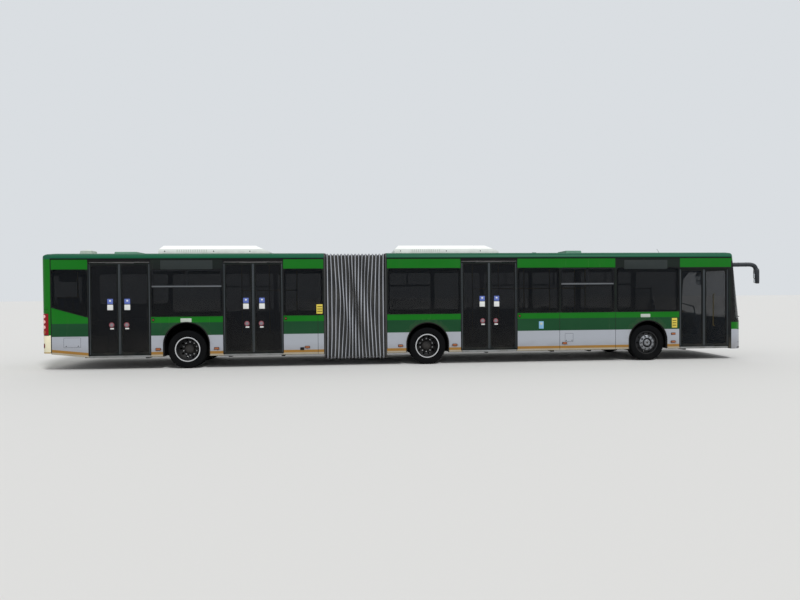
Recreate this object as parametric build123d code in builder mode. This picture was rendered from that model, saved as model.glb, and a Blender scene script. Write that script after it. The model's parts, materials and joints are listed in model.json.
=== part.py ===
from build123d import *
import os
from math import sqrt

os.makedirs("parts", exist_ok=True)

# Articulated city bus, in millimetres. +X is forward, +Y is the bus's left, +Z is up, and the ground is Z = 0.
# The origin lies on the ground in the middle of the bus's length and width, mirrors included.

# Driving dimensions: the whole bus
LENGTH = 17980
WIDTH = 2550
MIRROR_REACH = 395
FRONT_OVERHANG = 2705
FRONT_WHEELBASE = 5845
REAR_WHEELBASE = 5990
PIVOT_BEHIND_MIDDLE_AXLE = 1828
JOINT_GAP = 1580
SKIRT_BOTTOM = 314
FLOOR_TOP = 345
FLOOR_THICK = 45
WALL = 60
SILL = 1288
GLASS_TOP = 2458
WALL_TOP = 2710
ROOF_TOP = 2860
CEILING = 2680

HALF = WIDTH / 2
INSIDE = HALF - WALL
FLOOR_BOTTOM = FLOOR_TOP - FLOOR_THICK
FRONT_AXLE_X = (LENGTH - MIRROR_REACH) / 2 - FRONT_OVERHANG
MIDDLE_AXLE_X = FRONT_AXLE_X - FRONT_WHEELBASE
REAR_AXLE_X = MIDDLE_AXLE_X - REAR_WHEELBASE
FRONT_END = FRONT_AXLE_X + FRONT_OVERHANG
REAR_END = FRONT_END - LENGTH
PIVOT_X = MIDDLE_AXLE_X - PIVOT_BEHIND_MIDDLE_AXLE
FRONT_SECTION_REAR = PIVOT_X + JOINT_GAP / 2
REAR_SECTION_FRONT = PIVOT_X - JOINT_GAP / 2

# The two end masks: how far they reach back from the bus's ends
FRONT_MASK_DEPTH = 397
REAR_MASK_DEPTH = 256
FRONT_MASK_X = FRONT_END - FRONT_MASK_DEPTH
REAR_MASK_X = REAR_END + REAR_MASK_DEPTH

# Doors: one narrower and lower door at the front, three alike behind it
FRONT_DOOR_TOP = 2451
DOOR_TOP = 2640
FRONT_DOOR_WIDTH = 1340
DOOR_WIDTH = 1440
DOOR_1_X = FRONT_AXLE_X + 1550
DOOR_2_X = MIDDLE_AXLE_X + 1599
DOOR_3_X = REAR_AXLE_X + 1625
DOOR_4_X = REAR_AXLE_X - 1585

# Windows: panes are bonded on the wall's outer face, in a shallow recess round each cut
POST = 30
LAP = 45
PANE = 8
PANE_SEAT = 10
PANE_GAP = 3
PANE_CORNER = 60
FRONT_PANEL_JOINT_X = FRONT_AXLE_X - 886
SPLIT_WINDOW_X = FRONT_AXLE_X - 2375
DRIVER_SILL = 1090
HIGH_SILL = 1533

# Wheels
TYRE_RADIUS = 470
TYRE_WIDTH = 275
RIM_RADIUS = 292
WHEEL_Y = 1087
TWIN_SPACING = 310
HUB_BORE = 62
BEARING_GAP = 2
KINGPIN_Y = 930

# Wheel arches in the skin, and boxes inside
FRONT_ARCH = 510
MIDDLE_ARCH = 530
REAR_ARCH = 545
FRONT_ARCH_TOP = 1050
MIDDLE_ARCH_TOP = 1062
REAR_ARCH_TOP = 1137
BOX_SHEET = 25
STEER_ROOM = 590

SIDES = {"right": -1, "left": 1}


def slab(low, high, mode=Mode.ADD):
    """Add or cut the box between two opposite corners."""
    sizes = [h - l for l, h in zip(low, high)]
    with Locations(low):
        Box(*sizes, align=(Align.MIN, Align.MIN, Align.MIN), mode=mode)


def rod(start, end, radius, mode=Mode.ADD):
    """Add or cut a round bar between two points."""
    axis = Vector(*end) - Vector(*start)
    with Locations(Plane(origin=start, z_dir=axis).location):
        Cylinder(radius, axis.length, align=(Align.CENTER, Align.CENTER, Align.MIN), mode=mode)


def save(part, name):
    """Label a finished piece and write it under its own name."""
    part.label = name
    export_step(part, f"parts/{name}.step")


# Doors: each leaf hangs on a turning pillar by an arm over and an arm under it.
# An arm turns inwards while its leaf turns back twice as far, so the leaf's free edge runs along the doorway.
LEAF_THICK = 40
LEAF_RECESS = 12
LEAF_BOTTOM = 368
LEAF_UNDER_TOP = 40
LEAF_FRAME = 60
LEAF_PANE = 8
JAMB_GAP = 8
MEETING_GAP = 12
TRACK_IN = 10
PILLAR_RADIUS = 18
PILLAR_GAP = 8
POCKET_RADIUS = 30
PIN_RADIUS = 8
PIN_ROOM = 0.5
PIN_DEPTH = 22
ARM_THICK = 12
ARM_WIDTH = 36
ARM_GAP = 5
RAIL_RADIUS = 15
RAIL_STAND_OFF = 45
RAIL_LOW = 800
RAIL_UNDER_TOP = 700
RAIL_FROM_EDGE = 150
TRACK_Y = HALF - LEAF_RECESS - LEAF_THICK + TRACK_IN
JAMBS = {"rear": -1, "front": 1}


def leaf_length(width):
    """One leaf's length in a doorway."""
    return width / 2 - JAMB_GAP - MEETING_GAP / 2


def arm_length(width):
    """From pillar to pin: just enough for the leaf's ends to pass the pillar."""
    reach = leaf_length(width) / 2 + PILLAR_RADIUS + PILLAR_GAP
    return sqrt(reach**2 + (LEAF_THICK - TRACK_IN) ** 2)


def pin_x(middle, width, jamb):
    """X of a leaf's pin, at the leaf's middle. The jamb is -1 at the rear and 1 at the front."""
    return middle + jamb * (width / 2 - JAMB_GAP - leaf_length(width) / 2)


def pillar_x(middle, width, jamb):
    """X of the pillar that carries a leaf."""
    return pin_x(middle, width, jamb) + jamb * arm_length(width)


# Side walls: one panel each side of each section, with its windows, doors and wheel arches cut.
# window rows are rear end, front end, sill, top
front_right_windows = [
    (FRONT_SECTION_REAR + POST, DOOR_2_X - DOOR_WIDTH / 2 - POST, SILL, GLASS_TOP),
    (DOOR_2_X + DOOR_WIDTH / 2 + POST, SPLIT_WINDOW_X - POST / 2, SILL, GLASS_TOP),
    (SPLIT_WINDOW_X + POST / 2, FRONT_PANEL_JOINT_X - POST, SILL, GLASS_TOP),
    (FRONT_PANEL_JOINT_X + POST, DOOR_1_X - FRONT_DOOR_WIDTH / 2 - POST, SILL, GLASS_TOP),
]
LEFT_BAYS = 3
bay = (SPLIT_WINDOW_X - FRONT_SECTION_REAR - POST / 2) / LEFT_BAYS
front_left_windows = [
    (
        FRONT_SECTION_REAR + POST / 2 + n * bay + POST / 2,
        FRONT_SECTION_REAR + POST / 2 + (n + 1) * bay - POST / 2,
        SILL,
        GLASS_TOP,
    )
    for n in range(LEFT_BAYS)
]
DRIVER_WINDOW_X = FRONT_AXLE_X + 860
front_left_windows += [
    (SPLIT_WINDOW_X + POST / 2, FRONT_PANEL_JOINT_X - POST, SILL, GLASS_TOP),
    (FRONT_PANEL_JOINT_X + POST, DRIVER_WINDOW_X - POST, SILL, GLASS_TOP),
    (DRIVER_WINDOW_X + POST, FRONT_MASK_X - POST, DRIVER_SILL, GLASS_TOP),
]
rear_right_windows = [
    (DOOR_3_X + DOOR_WIDTH / 2 + POST, REAR_SECTION_FRONT - POST, SILL, GLASS_TOP),
    (DOOR_4_X + DOOR_WIDTH / 2 + POST, DOOR_3_X - DOOR_WIDTH / 2 - POST, SILL, GLASS_TOP),
]
ENGINE_BAY_FRONT = REAR_AXLE_X - 1130
rear_bay = (REAR_SECTION_FRONT - POST - ENGINE_BAY_FRONT) / LEFT_BAYS
rear_left_windows = [
    (
        ENGINE_BAY_FRONT + n * rear_bay + POST / 2,
        ENGINE_BAY_FRONT + (n + 1) * rear_bay - POST / 2,
        SILL,
        GLASS_TOP,
    )
    for n in range(LEFT_BAYS)
]
rear_left_windows += [(REAR_MASK_X + LAP, ENGINE_BAY_FRONT - POST / 2, HIGH_SILL, GLASS_TOP)]

SKIRT_RISE_X = REAR_AXLE_X - 2325
SKIRT_REAR_BOTTOM = 404
front_outline = [
    (FRONT_SECTION_REAR, SKIRT_BOTTOM),
    (FRONT_MASK_X, SKIRT_BOTTOM),
    (FRONT_MASK_X, WALL_TOP),
    (FRONT_SECTION_REAR, WALL_TOP),
]
rear_outline = [
    (REAR_MASK_X, SKIRT_REAR_BOTTOM),
    (SKIRT_RISE_X, SKIRT_BOTTOM),
    (REAR_SECTION_FRONT, SKIRT_BOTTOM),
    (REAR_SECTION_FRONT, WALL_TOP),
    (REAR_MASK_X, WALL_TOP),
]
rear_end_pane = [
    (REAR_MASK_X + PANE_GAP + PANE, HIGH_SILL),
    (DOOR_4_X - DOOR_WIDTH / 2 - POST, SILL),
    (DOOR_4_X - DOOR_WIDTH / 2 - POST, GLASS_TOP),
    (REAR_MASK_X + PANE_GAP + PANE, GLASS_TOP),
]
# door rows are middle, width, top
front_doors = [(DOOR_1_X, FRONT_DOOR_WIDTH, FRONT_DOOR_TOP), (DOOR_2_X, DOOR_WIDTH, DOOR_TOP)]
rear_doors = [(DOOR_3_X, DOOR_WIDTH, DOOR_TOP), (DOOR_4_X, DOOR_WIDTH, DOOR_TOP)]
# arch rows are middle, half width, top
front_arches = [(FRONT_AXLE_X, FRONT_ARCH, FRONT_ARCH_TOP), (MIDDLE_AXLE_X, MIDDLE_ARCH, MIDDLE_ARCH_TOP)]
rear_arches = [(REAR_AXLE_X, REAR_ARCH, REAR_ARCH_TOP)]


def skin_plane(side, depth=0):
    """The plane of a side's outer skin, or one a little way into the wall. Its sketch X and Y are X and Z."""
    return Plane.XZ.offset(-side * (HALF - depth))


def pane_shapes(windows, ends, shrink):
    """Rounded pane outlines in the current sketch, each smaller all round by the shrink."""
    for rear, front, sill, top in windows:
        with Locations(((rear + front) / 2, (sill + top) / 2)):
            RectangleRounded(front - rear - 2 * shrink, top - sill - 2 * shrink, PANE_CORNER)
    for outline in ends:
        with BuildSketch(mode=Mode.PRIVATE) as end:
            with BuildLine():
                Polyline(*outline, close=True)
            make_face()
            fillet(end.vertices(), PANE_CORNER)
            if shrink:
                offset(amount=-shrink)
        add(end.sketch)


def side_wall(side, outline, windows, ends, doors, arches):
    """A side's panel: outline with its cuts, and the shallow seats that the panes are bonded in."""
    with BuildPart() as wall:
        with BuildSketch(skin_plane(side)):
            with BuildLine():
                Polyline(*outline, close=True)
            make_face()
            with BuildSketch(mode=Mode.SUBTRACT):
                pane_shapes(windows, ends, LAP)
            for middle, width, door_top in doors:
                with Locations((middle, (door_top + SKIRT_BOTTOM) / 2)):
                    Rectangle(width, door_top - SKIRT_BOTTOM, mode=Mode.SUBTRACT)
            for middle, half_width, top in arches:
                with Locations((middle, top - half_width)):
                    Circle(half_width, mode=Mode.SUBTRACT)
                with Locations((middle, (top - half_width) / 2)):
                    Rectangle(2 * half_width, top - half_width, mode=Mode.SUBTRACT)
        extrude(amount=side * WALL)
        with BuildSketch(skin_plane(side)):
            pane_shapes(windows, ends, -PANE_GAP)
        extrude(amount=side * PANE_SEAT, mode=Mode.SUBTRACT)
        for middle, width, door_top in doors:
            for jamb in JAMBS.values():
                x = pillar_x(middle, width, jamb)
                y = side * TRACK_Y
                bore = PIN_DEPTH + PIN_ROOM
                rod((x, y, FLOOR_TOP), (x, y, door_top), POCKET_RADIUS, mode=Mode.SUBTRACT)
                low = (x, y, FLOOR_TOP - bore)
                high = (x, y, door_top + bore)
                rod(low, high, PIN_RADIUS + PIN_ROOM, mode=Mode.SUBTRACT)
    return wall.part


rear_end_panes = {"right": [rear_end_pane], "left": []}
windows = {
    ("front", "right"): front_right_windows,
    ("front", "left"): front_left_windows,
    ("rear", "right"): rear_right_windows,
    ("rear", "left"): rear_left_windows,
}
for name, side in SIDES.items():
    front_doorways = front_doors if name == "right" else []
    rear_doorways = rear_doors if name == "right" else []
    front_wall = side_wall(side, front_outline, windows["front", name], [], front_doorways, front_arches)
    save(front_wall, f"front_wall_{name}")
    rear_wall = side_wall(
        side, rear_outline, windows["rear", name], rear_end_panes[name], rear_doorways, rear_arches
    )
    save(rear_wall, f"rear_wall_{name}")

# Roofs: a flat middle with rounded edges, resting on the walls, and the hatches on it
ROOF_FLAT = 1000
EDGE_DROP = 20
ROOF_EDGE = ROOF_TOP - EDGE_DROP - WALL_TOP


def roof_outline():
    """The body's upper outline across the bus, in a sketch of Y and Z."""
    edge = HALF - ROOF_EDGE
    top = ROOF_TOP - EDGE_DROP
    RadiusArc((-HALF, WALL_TOP), (-edge, top), ROOF_EDGE)
    Polyline((-edge, top), (-ROOF_FLAT, ROOF_TOP), (ROOF_FLAT, ROOF_TOP), (edge, top))
    RadiusArc((edge, top), (HALF, WALL_TOP), ROOF_EDGE)


# hatch rows are middle X, middle Y, length, width, height
front_hatches = [
    (FRONT_AXLE_X - 1640, 0, 480, 700, 97),
    (FRONT_AXLE_X - 2735, -250, 140, 90, 60),
]
rear_hatches = [
    (REAR_AXLE_X - 2845, 0, 330, 400, 129),
    (REAR_AXLE_X - 1760, 0, 590, 800, 80),
]
HATCH_CORNER = 40


def roof(rear, front, hatches):
    """A section's roof from its rear end to its front end, with its hatches."""
    with BuildPart() as shell:
        with BuildSketch(Plane.YZ.offset(rear)):
            with BuildLine():
                roof_outline()
                Polyline(
                    (HALF, WALL_TOP),
                    (INSIDE, WALL_TOP),
                    (INSIDE, CEILING),
                    (-INSIDE, CEILING),
                    (-INSIDE, WALL_TOP),
                    (-HALF, WALL_TOP),
                )
            make_face()
        extrude(amount=front - rear)
        for x, y, length, width, height in hatches:
            with BuildSketch(Plane.XY.offset(ROOF_TOP)):
                with Locations((x, y)):
                    RectangleRounded(length, width, HATCH_CORNER)
            extrude(amount=height, taper=12)
    return shell.part


save(roof(FRONT_SECTION_REAR, FRONT_MASK_X, front_hatches), "front_roof")
save(roof(REAR_MASK_X, REAR_SECTION_FRONT, rear_hatches), "rear_roof")

# Roof units: long flat covers, blunt at the rear and with a long slope in front
UNIT_HALF_WIDTH = 940
UNIT_HEIGHT = 205
UNIT_EDGE = 45
FRONT_UNIT_REAR = MIDDLE_AXLE_X - 812
REAR_UNIT_REAR = REAR_AXLE_X - 760
UNIT_LENGTH = 2750
UNIT_REAR_SLOPE = 110
UNIT_FRONT_SLOPE = 360


def roof_unit(rear):
    """A white cover standing on the flat of the roof."""
    front = rear + UNIT_LENGTH
    with BuildPart() as cover:
        with BuildSketch(Plane.XZ.offset(-UNIT_HALF_WIDTH)):
            with BuildLine():
                Polyline(
                    (rear, ROOF_TOP),
                    (front, ROOF_TOP),
                    (front, ROOF_TOP + UNIT_EDGE),
                    (front - UNIT_FRONT_SLOPE, ROOF_TOP + UNIT_HEIGHT),
                    (rear + UNIT_REAR_SLOPE, ROOF_TOP + UNIT_HEIGHT),
                    (rear, ROOF_TOP + 2 * UNIT_EDGE),
                    close=True,
                )
            make_face()
        extrude(amount=2 * UNIT_HALF_WIDTH)
        long_top = cover.edges().filter_by(Axis.X).group_by(Axis.Z)[-1]
        chamfer(long_top, 2 * UNIT_EDGE)
    return cover.part


save(roof_unit(FRONT_UNIT_REAR), "front_roof_unit")
save(roof_unit(REAR_UNIT_REAR), "rear_roof_unit")

# End masks: the front leans back above its belt, the rear stands upright
FRONT_BOTTOM = 281
FRONT_BELT = 980
FRONT_LEAN = 255
FRONT_CORNER = 300
FRONT_TOP_CORNER = 110
FRONT_EDGE = 70
REAR_BOTTOM = 428
REAR_BELT = 1450
REAR_LEAN = 0
REAR_EDGE = 250
REAR_CORNER = 150
REAR_TOP_CORNER = 150
FRONT_BOW = 70
REAR_BOW = 30
PLAN_DEPTH = 900


def plan(height, tip, facing, inset, corner, bow):
    """One level of an end mask: bowed across the bus, with round corners, on its own plane."""
    half = HALF - inset
    reach = tip - facing * inset
    side_x = reach - facing * bow
    start = reach - facing * PLAN_DEPTH
    with BuildSketch(Plane.XY.offset(height)) as level:
        with BuildLine():
            ThreePointArc((side_x, -half), (reach, 0), (side_x, half))
            Polyline((side_x, half), (start, half), (start, -half), (side_x, -half))
        make_face()
        corners = level.vertices().sort_by(Axis.X, reverse=facing > 0)[:2]
        fillet(corners, corner - inset)
    return level.sketch


def end_form(start, end, facing, bottom, belt, lean, corners, bow, inset, floor, ceiling):
    """A mask's solid form, inset all round: its leaning plan, cut by the outline across the bus."""
    top_tip = end - facing * lean * (ROOF_TOP - belt) / (WALL_TOP - belt)
    with BuildPart() as form:
        loft(
            [
                plan(bottom, end, facing, inset, corners[0], bow),
                plan(belt, end, facing, inset, corners[0], bow),
                plan(ROOF_TOP, top_tip, facing, inset, corners[1], bow),
            ],
            ruled=True,
        )
        with BuildSketch(Plane.YZ.offset(min(start, end))):
            with BuildLine():
                roof_outline()
                Polyline((HALF, WALL_TOP), (HALF, bottom), (-HALF, bottom), (-HALF, WALL_TOP))
            make_face()
        extrude(amount=abs(end - start), mode=Mode.INTERSECT)
        if inset:
            slab((min(start, end), -HALF, floor), (max(start, end), HALF, ceiling), mode=Mode.INTERSECT)
    return form.part


def front_form(inset=0, floor=FRONT_BOTTOM, ceiling=ROOF_TOP):
    """The front mask's form, inset. Its outer skin has a round edge along the roof."""
    corners = (FRONT_CORNER, FRONT_TOP_CORNER)
    shape = (FRONT_BOTTOM, FRONT_BELT, FRONT_LEAN, corners, FRONT_BOW)
    form = end_form(FRONT_MASK_X, FRONT_END, 1, *shape, inset, floor, ceiling)
    if inset:
        return form
    high = form.edges().filter_by(lambda edge: edge.center().Z > WALL_TOP and edge.geom_type != GeomType.LINE)
    return form.fillet(FRONT_EDGE, high.filter_by(lambda edge: edge.center().X > FRONT_MASK_X + WALL / 2))


def rear_form(inset=0, floor=REAR_BOTTOM, ceiling=ROOF_TOP):
    """The rear mask's form, inset. Its outer skin turns over into the roof in a round edge."""
    corners = (REAR_CORNER, REAR_TOP_CORNER)
    shape = (REAR_BOTTOM, REAR_BELT, REAR_LEAN, corners, REAR_BOW)
    with BuildPart() as form:
        add(end_form(REAR_MASK_X, REAR_END, -1, *shape, inset, floor, ceiling))
        if not inset:
            with BuildSketch(Plane.XZ.offset(-HALF)):
                with BuildLine():
                    Polyline(
                        (REAR_END + REAR_EDGE, ROOF_TOP),
                        (REAR_MASK_X, ROOF_TOP),
                        (REAR_MASK_X, REAR_BOTTOM),
                        (REAR_END, REAR_BOTTOM),
                        (REAR_END, ROOF_TOP - REAR_EDGE),
                    )
                    RadiusArc((REAR_END, ROOF_TOP - REAR_EDGE), (REAR_END + REAR_EDGE, ROOF_TOP), REAR_EDGE)
                make_face()
            extrude(amount=WIDTH, mode=Mode.INTERSECT)
    return form.part


# Windscreen, rear window, lamps and flap are pieces of the masks' skins, each with its region of the skin.
# region rows are low corner, high corner
SCREEN_REAR = FRONT_MASK_X + 55
SCREEN_BOTTOM = 1010
SCREEN_TOP = 2600
screen_region = ((SCREEN_REAR, -HALF, SCREEN_BOTTOM), (FRONT_END, HALF, SCREEN_TOP))
screen_hole = ((SCREEN_REAR + LAP, -HALF, SCREEN_BOTTOM + LAP), (FRONT_END, HALF, SCREEN_TOP - LAP))
HEADLAMP_LOW = 520
HEADLAMP_TOP = 720
HEADLAMP_IN = 780
HEADLAMP_OUT = 1130
LAMP_DEEP = 40
headlamp_regions = [
    ((FRONT_MASK_X + 100, min(s * HEADLAMP_IN, s * HEADLAMP_OUT), HEADLAMP_LOW),
     (FRONT_END, max(s * HEADLAMP_IN, s * HEADLAMP_OUT), HEADLAMP_TOP))
    for s in SIDES.values()
]
REAR_WINDOW_HALF = 960
REAR_WINDOW_SILL = 1560
REAR_WINDOW_TOP = 2400
rear_window_region = (
    (REAR_END, -REAR_WINDOW_HALF, REAR_WINDOW_SILL),
    (REAR_MASK_X, REAR_WINDOW_HALF, REAR_WINDOW_TOP),
)
rear_window_hole = (
    (REAR_END, LAP - REAR_WINDOW_HALF, REAR_WINDOW_SILL + LAP),
    (REAR_MASK_X, REAR_WINDOW_HALF - LAP, REAR_WINDOW_TOP - LAP),
)
TAIL_LOW = 864
TAIL_TOP = 1396
TAIL_IN = 1120
tail_regions = [
    ((REAR_END, min(s * TAIL_IN, s * HALF), TAIL_LOW), (REAR_MASK_X - 60, max(s * TAIL_IN, s * HALF), TAIL_TOP))
    for s in SIDES.values()
]
FLAP_HALF = 1040
FLAP_LOW = 500
FLAP_TOP = 1420
FLAP_THICK = 40
FLAP_GAP = 6
HINGE_RADIUS = 9
HINGE_UP = 5
HINGE_MIDDLE_Y = 230
HINGE_LENGTH = 100
FLAP_HINGE_X = REAR_END
FLAP_HINGE_Z = FLAP_TOP + HINGE_UP
flap_region = ((REAR_END, -FLAP_HALF, FLAP_LOW), (REAR_MASK_X, FLAP_HALF, FLAP_TOP))
flap_hole = (
    (REAR_END, -FLAP_HALF - FLAP_GAP, FLAP_LOW - FLAP_GAP),
    (REAR_MASK_X, FLAP_HALF + FLAP_GAP, FLAP_TOP + FLAP_GAP),
)


def mask(form, floor, holes, bores, seats):
    """A hollow mask with holes and round bores cut right through it, and seats cut into its skin to a depth."""
    with BuildPart() as shell:
        add(form())
        add(form(WALL, floor, CEILING), mode=Mode.SUBTRACT)
        for low, high in holes:
            slab(low, high, mode=Mode.SUBTRACT)
        for start, end in bores:
            rod(start, end, TOW_BORE_RADIUS, mode=Mode.SUBTRACT)
        for low, high, depth in seats:
            with BuildPart(mode=Mode.PRIVATE) as seat:
                add(form())
                add(form(depth), mode=Mode.SUBTRACT)
                slab(low, high, mode=Mode.INTERSECT)
            add(seat.part, mode=Mode.SUBTRACT)
    return shell.part


def skin_piece(form, outer, inner, regions):
    """Pieces of a mask's skin between two depths, one for each region."""
    with BuildPart() as skin:
        add(form(outer) if outer else form())
        add(form(inner), mode=Mode.SUBTRACT)
        with BuildPart(mode=Mode.INTERSECT):
            for low, high in regions:
                slab(low, high)
    return skin.part


SKIN_INSET = PANE_SEAT - PANE
groove = HINGE_RADIUS + FLAP_GAP
front_seats_cut = [(*screen_region, PANE_SEAT)] + [(*region, LAMP_DEEP) for region in headlamp_regions]
rear_seats_cut = [(*rear_window_region, PANE_SEAT)] + [(*region, LAMP_DEEP) for region in tail_regions]
hinge_grooves = [
    (
        (REAR_END, s * HINGE_MIDDLE_Y - HINGE_LENGTH / 2 - FLAP_GAP, FLAP_TOP),
        (FLAP_HINGE_X + groove, s * HINGE_MIDDLE_Y + HINGE_LENGTH / 2 + FLAP_GAP, FLAP_HINGE_Z + groove),
    )
    for s in SIDES.values()
]
TOW_BORE_RADIUS = 20
FRONT_TOW_Z = 400
REAR_TOW_Z = (REAR_BOTTOM + FLAP_LOW - FLAP_GAP) / 2
front_bore = ((FRONT_END - WALL - FRONT_BOW, 0, FRONT_TOW_Z), (FRONT_END, 0, FRONT_TOW_Z))
rear_bore = ((REAR_END, 0, REAR_TOW_Z), (REAR_END + WALL + REAR_BOW, 0, REAR_TOW_Z))
rear_holes = [rear_window_hole, flap_hole, *hinge_grooves]
save(mask(front_form, FLOOR_BOTTOM, [screen_hole], [front_bore], front_seats_cut), "front_mask")
save(mask(rear_form, FLOOR_BOTTOM, rear_holes, [rear_bore], rear_seats_cut), "rear_mask")
save(skin_piece(front_form, SKIN_INSET, LAMP_DEEP, headlamp_regions), "headlamps")
save(skin_piece(rear_form, SKIN_INSET, LAMP_DEEP, tail_regions), "tail_lamps")

# Engine flap: the lower middle of the rear mask, hung from two hinges along its top edge
with BuildPart() as engine_flap:
    add(skin_piece(rear_form, 0, FLAP_THICK, [flap_region]))
    for s in SIDES.values():
        start = s * HINGE_MIDDLE_Y - HINGE_LENGTH / 2
        end = start + HINGE_LENGTH
        rod((FLAP_HINGE_X, start, FLAP_HINGE_Z), (FLAP_HINGE_X, end, FLAP_HINGE_Z), HINGE_RADIUS)
save(engine_flap.part, "engine_flap")


def panes(section, ends):
    """A section's side panes, flush in their seats on both walls."""
    with BuildPart() as glass:
        for name, side in SIDES.items():
            with BuildSketch(skin_plane(side, SKIN_INSET)):
                pane_shapes(windows[section, name], ends[name], 0)
            extrude(amount=side * PANE)
    return glass.part


with BuildPart() as front_glass:
    add(panes("front", {"right": [], "left": []}))
    add(skin_piece(front_form, SKIN_INSET, PANE_SEAT, [screen_region]))
save(front_glass.part, "front_glass")
with BuildPart() as rear_glass:
    add(panes("rear", rear_end_panes))
    add(skin_piece(rear_form, SKIN_INSET, PANE_SEAT, [rear_window_region]))
save(rear_glass.part, "rear_glass")

# Floors: a low plate on rails and cross members, with a box over each wheel and a threshold in each doorway
RAIL_IN = 430
RAIL_WIDTH = 80
RAIL_BOTTOM = 255
CROSS_BOTTOM = 270
CROSS_LENGTH = 80
THRESHOLD_LIP = 5
DOOR_SIDE_GAP = 3
BOX_IN = 540
MIDDLE_ROOM = MIDDLE_ARCH + 20
REAR_ROOM = REAR_ARCH + 20
BOX_OVER_ARCH = 10
PODIUM_X = DOOR_4_X - DOOR_WIDTH / 2 - 130
PODIUM_TOP = 745
SHEET = 30
TOWER_IN = 150
TOWER_TOP = 1150
BULKHEAD_TOP = 1480
SHELF_REACH = 75


def floor_plate(rear, front, axles, doors, crosses):
    """A section's low floor. axle rows are X, half length of the box's room, arch top."""
    with BuildPart() as plate:
        slab((rear, -INSIDE, FLOOR_BOTTOM), (front, INSIDE, FLOOR_TOP))
        for s in SIDES.values():
            rail = sorted((s * RAIL_IN, s * (RAIL_IN + RAIL_WIDTH)))
            slab((rear, rail[0], RAIL_BOTTOM), (front, rail[1], FLOOR_BOTTOM))
        for x in crosses:
            slab((x, -INSIDE, CROSS_BOTTOM), (x + CROSS_LENGTH, INSIDE, FLOOR_BOTTOM))
        for x, room, arch_top in axles:
            top = arch_top + BOX_OVER_ARCH
            for s in SIDES.values():
                outer = sorted((s * BOX_IN, s * INSIDE))
                inner = sorted((s * (BOX_IN + BOX_SHEET), s * INSIDE))
                reach = room + BOX_SHEET
                slab((x - reach, outer[0], FLOOR_BOTTOM), (x + reach, outer[1], top + BOX_SHEET))
                slab((x - room, inner[0], RAIL_BOTTOM), (x + room, inner[1], top), mode=Mode.SUBTRACT)
        for x, width, _ in doors:
            half = width / 2 - DOOR_SIDE_GAP
            slab((x - half, THRESHOLD_LIP - HALF, FLOOR_BOTTOM), (x + half, -INSIDE, FLOOR_TOP))
    return plate.part


front_axles = [(FRONT_AXLE_X, STEER_ROOM, FRONT_ARCH_TOP), (MIDDLE_AXLE_X, MIDDLE_ROOM, MIDDLE_ARCH_TOP)]
front_crosses = [FRONT_AXLE_X + 1000, FRONT_AXLE_X - 1600, FRONT_AXLE_X - 2600, MIDDLE_AXLE_X + 1500]
rear_crosses = [REAR_AXLE_X + 1000, REAR_AXLE_X + 2300, REAR_AXLE_X - 1000]
with BuildPart() as front_floor:
    add(floor_plate(FRONT_SECTION_REAR, FRONT_MASK_X, front_axles, front_doors, front_crosses))
    add(front_form(WALL + PANE_GAP, FLOOR_BOTTOM, FLOOR_TOP))
save(front_floor.part, "front_floor")

rear_axles = [(REAR_AXLE_X, REAR_ROOM, REAR_ARCH_TOP)]
with BuildPart() as rear_floor:
    add(floor_plate(PODIUM_X, REAR_SECTION_FRONT, rear_axles, rear_doors, rear_crosses))
    slab((PODIUM_X, TOWER_IN, RAIL_BOTTOM), (ENGINE_BAY_FRONT, INSIDE, FLOOR_TOP), mode=Mode.SUBTRACT)
    slab((PODIUM_X, TOWER_IN - SHEET, FLOOR_TOP), (ENGINE_BAY_FRONT + SHEET, TOWER_IN, TOWER_TOP))
    slab((REAR_MASK_X, TOWER_IN - SHEET, PODIUM_TOP - SHEET), (PODIUM_X, TOWER_IN, TOWER_TOP))
    slab((ENGINE_BAY_FRONT, TOWER_IN, FLOOR_TOP), (ENGINE_BAY_FRONT + SHEET, INSIDE, TOWER_TOP))
    slab((REAR_MASK_X, TOWER_IN - SHEET, TOWER_TOP - SHEET), (ENGINE_BAY_FRONT + SHEET, INSIDE, TOWER_TOP))
    slab((PODIUM_X - SHEET, -INSIDE, FLOOR_BOTTOM + SHEET), (PODIUM_X, TOWER_IN, PODIUM_TOP))
    slab((REAR_MASK_X, -INSIDE, PODIUM_TOP - SHEET), (PODIUM_X, TOWER_IN, PODIUM_TOP))
    slab((REAR_MASK_X, -INSIDE, PODIUM_TOP - SHEET), (REAR_MASK_X + SHEET, INSIDE, BULKHEAD_TOP))
    shelf = INSIDE - SHELF_REACH
    slab((REAR_MASK_X - SHELF_REACH, -shelf, BULKHEAD_TOP - SHEET), (REAR_MASK_X, shelf, BULKHEAD_TOP))
save(rear_floor.part, "rear_floor")

# Engine: one plain block in the bay at the left rear
ENGINE_LENGTH = 1700
ENGINE_WIDTH = 850
ENGINE_HEIGHT = 700
ENGINE_BOTTOM = 390
engine_rear = (REAR_MASK_X + ENGINE_BAY_FRONT - ENGINE_LENGTH) / 2 + SHEET / 2
engine_side = (TOWER_IN + INSIDE - ENGINE_WIDTH) / 2
with BuildPart() as engine:
    slab(
        (engine_rear, engine_side, ENGINE_BOTTOM),
        (engine_rear + ENGINE_LENGTH, engine_side + ENGINE_WIDTH, ENGINE_BOTTOM + ENGINE_HEIGHT),
    )
save(engine.part, "engine")

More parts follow.
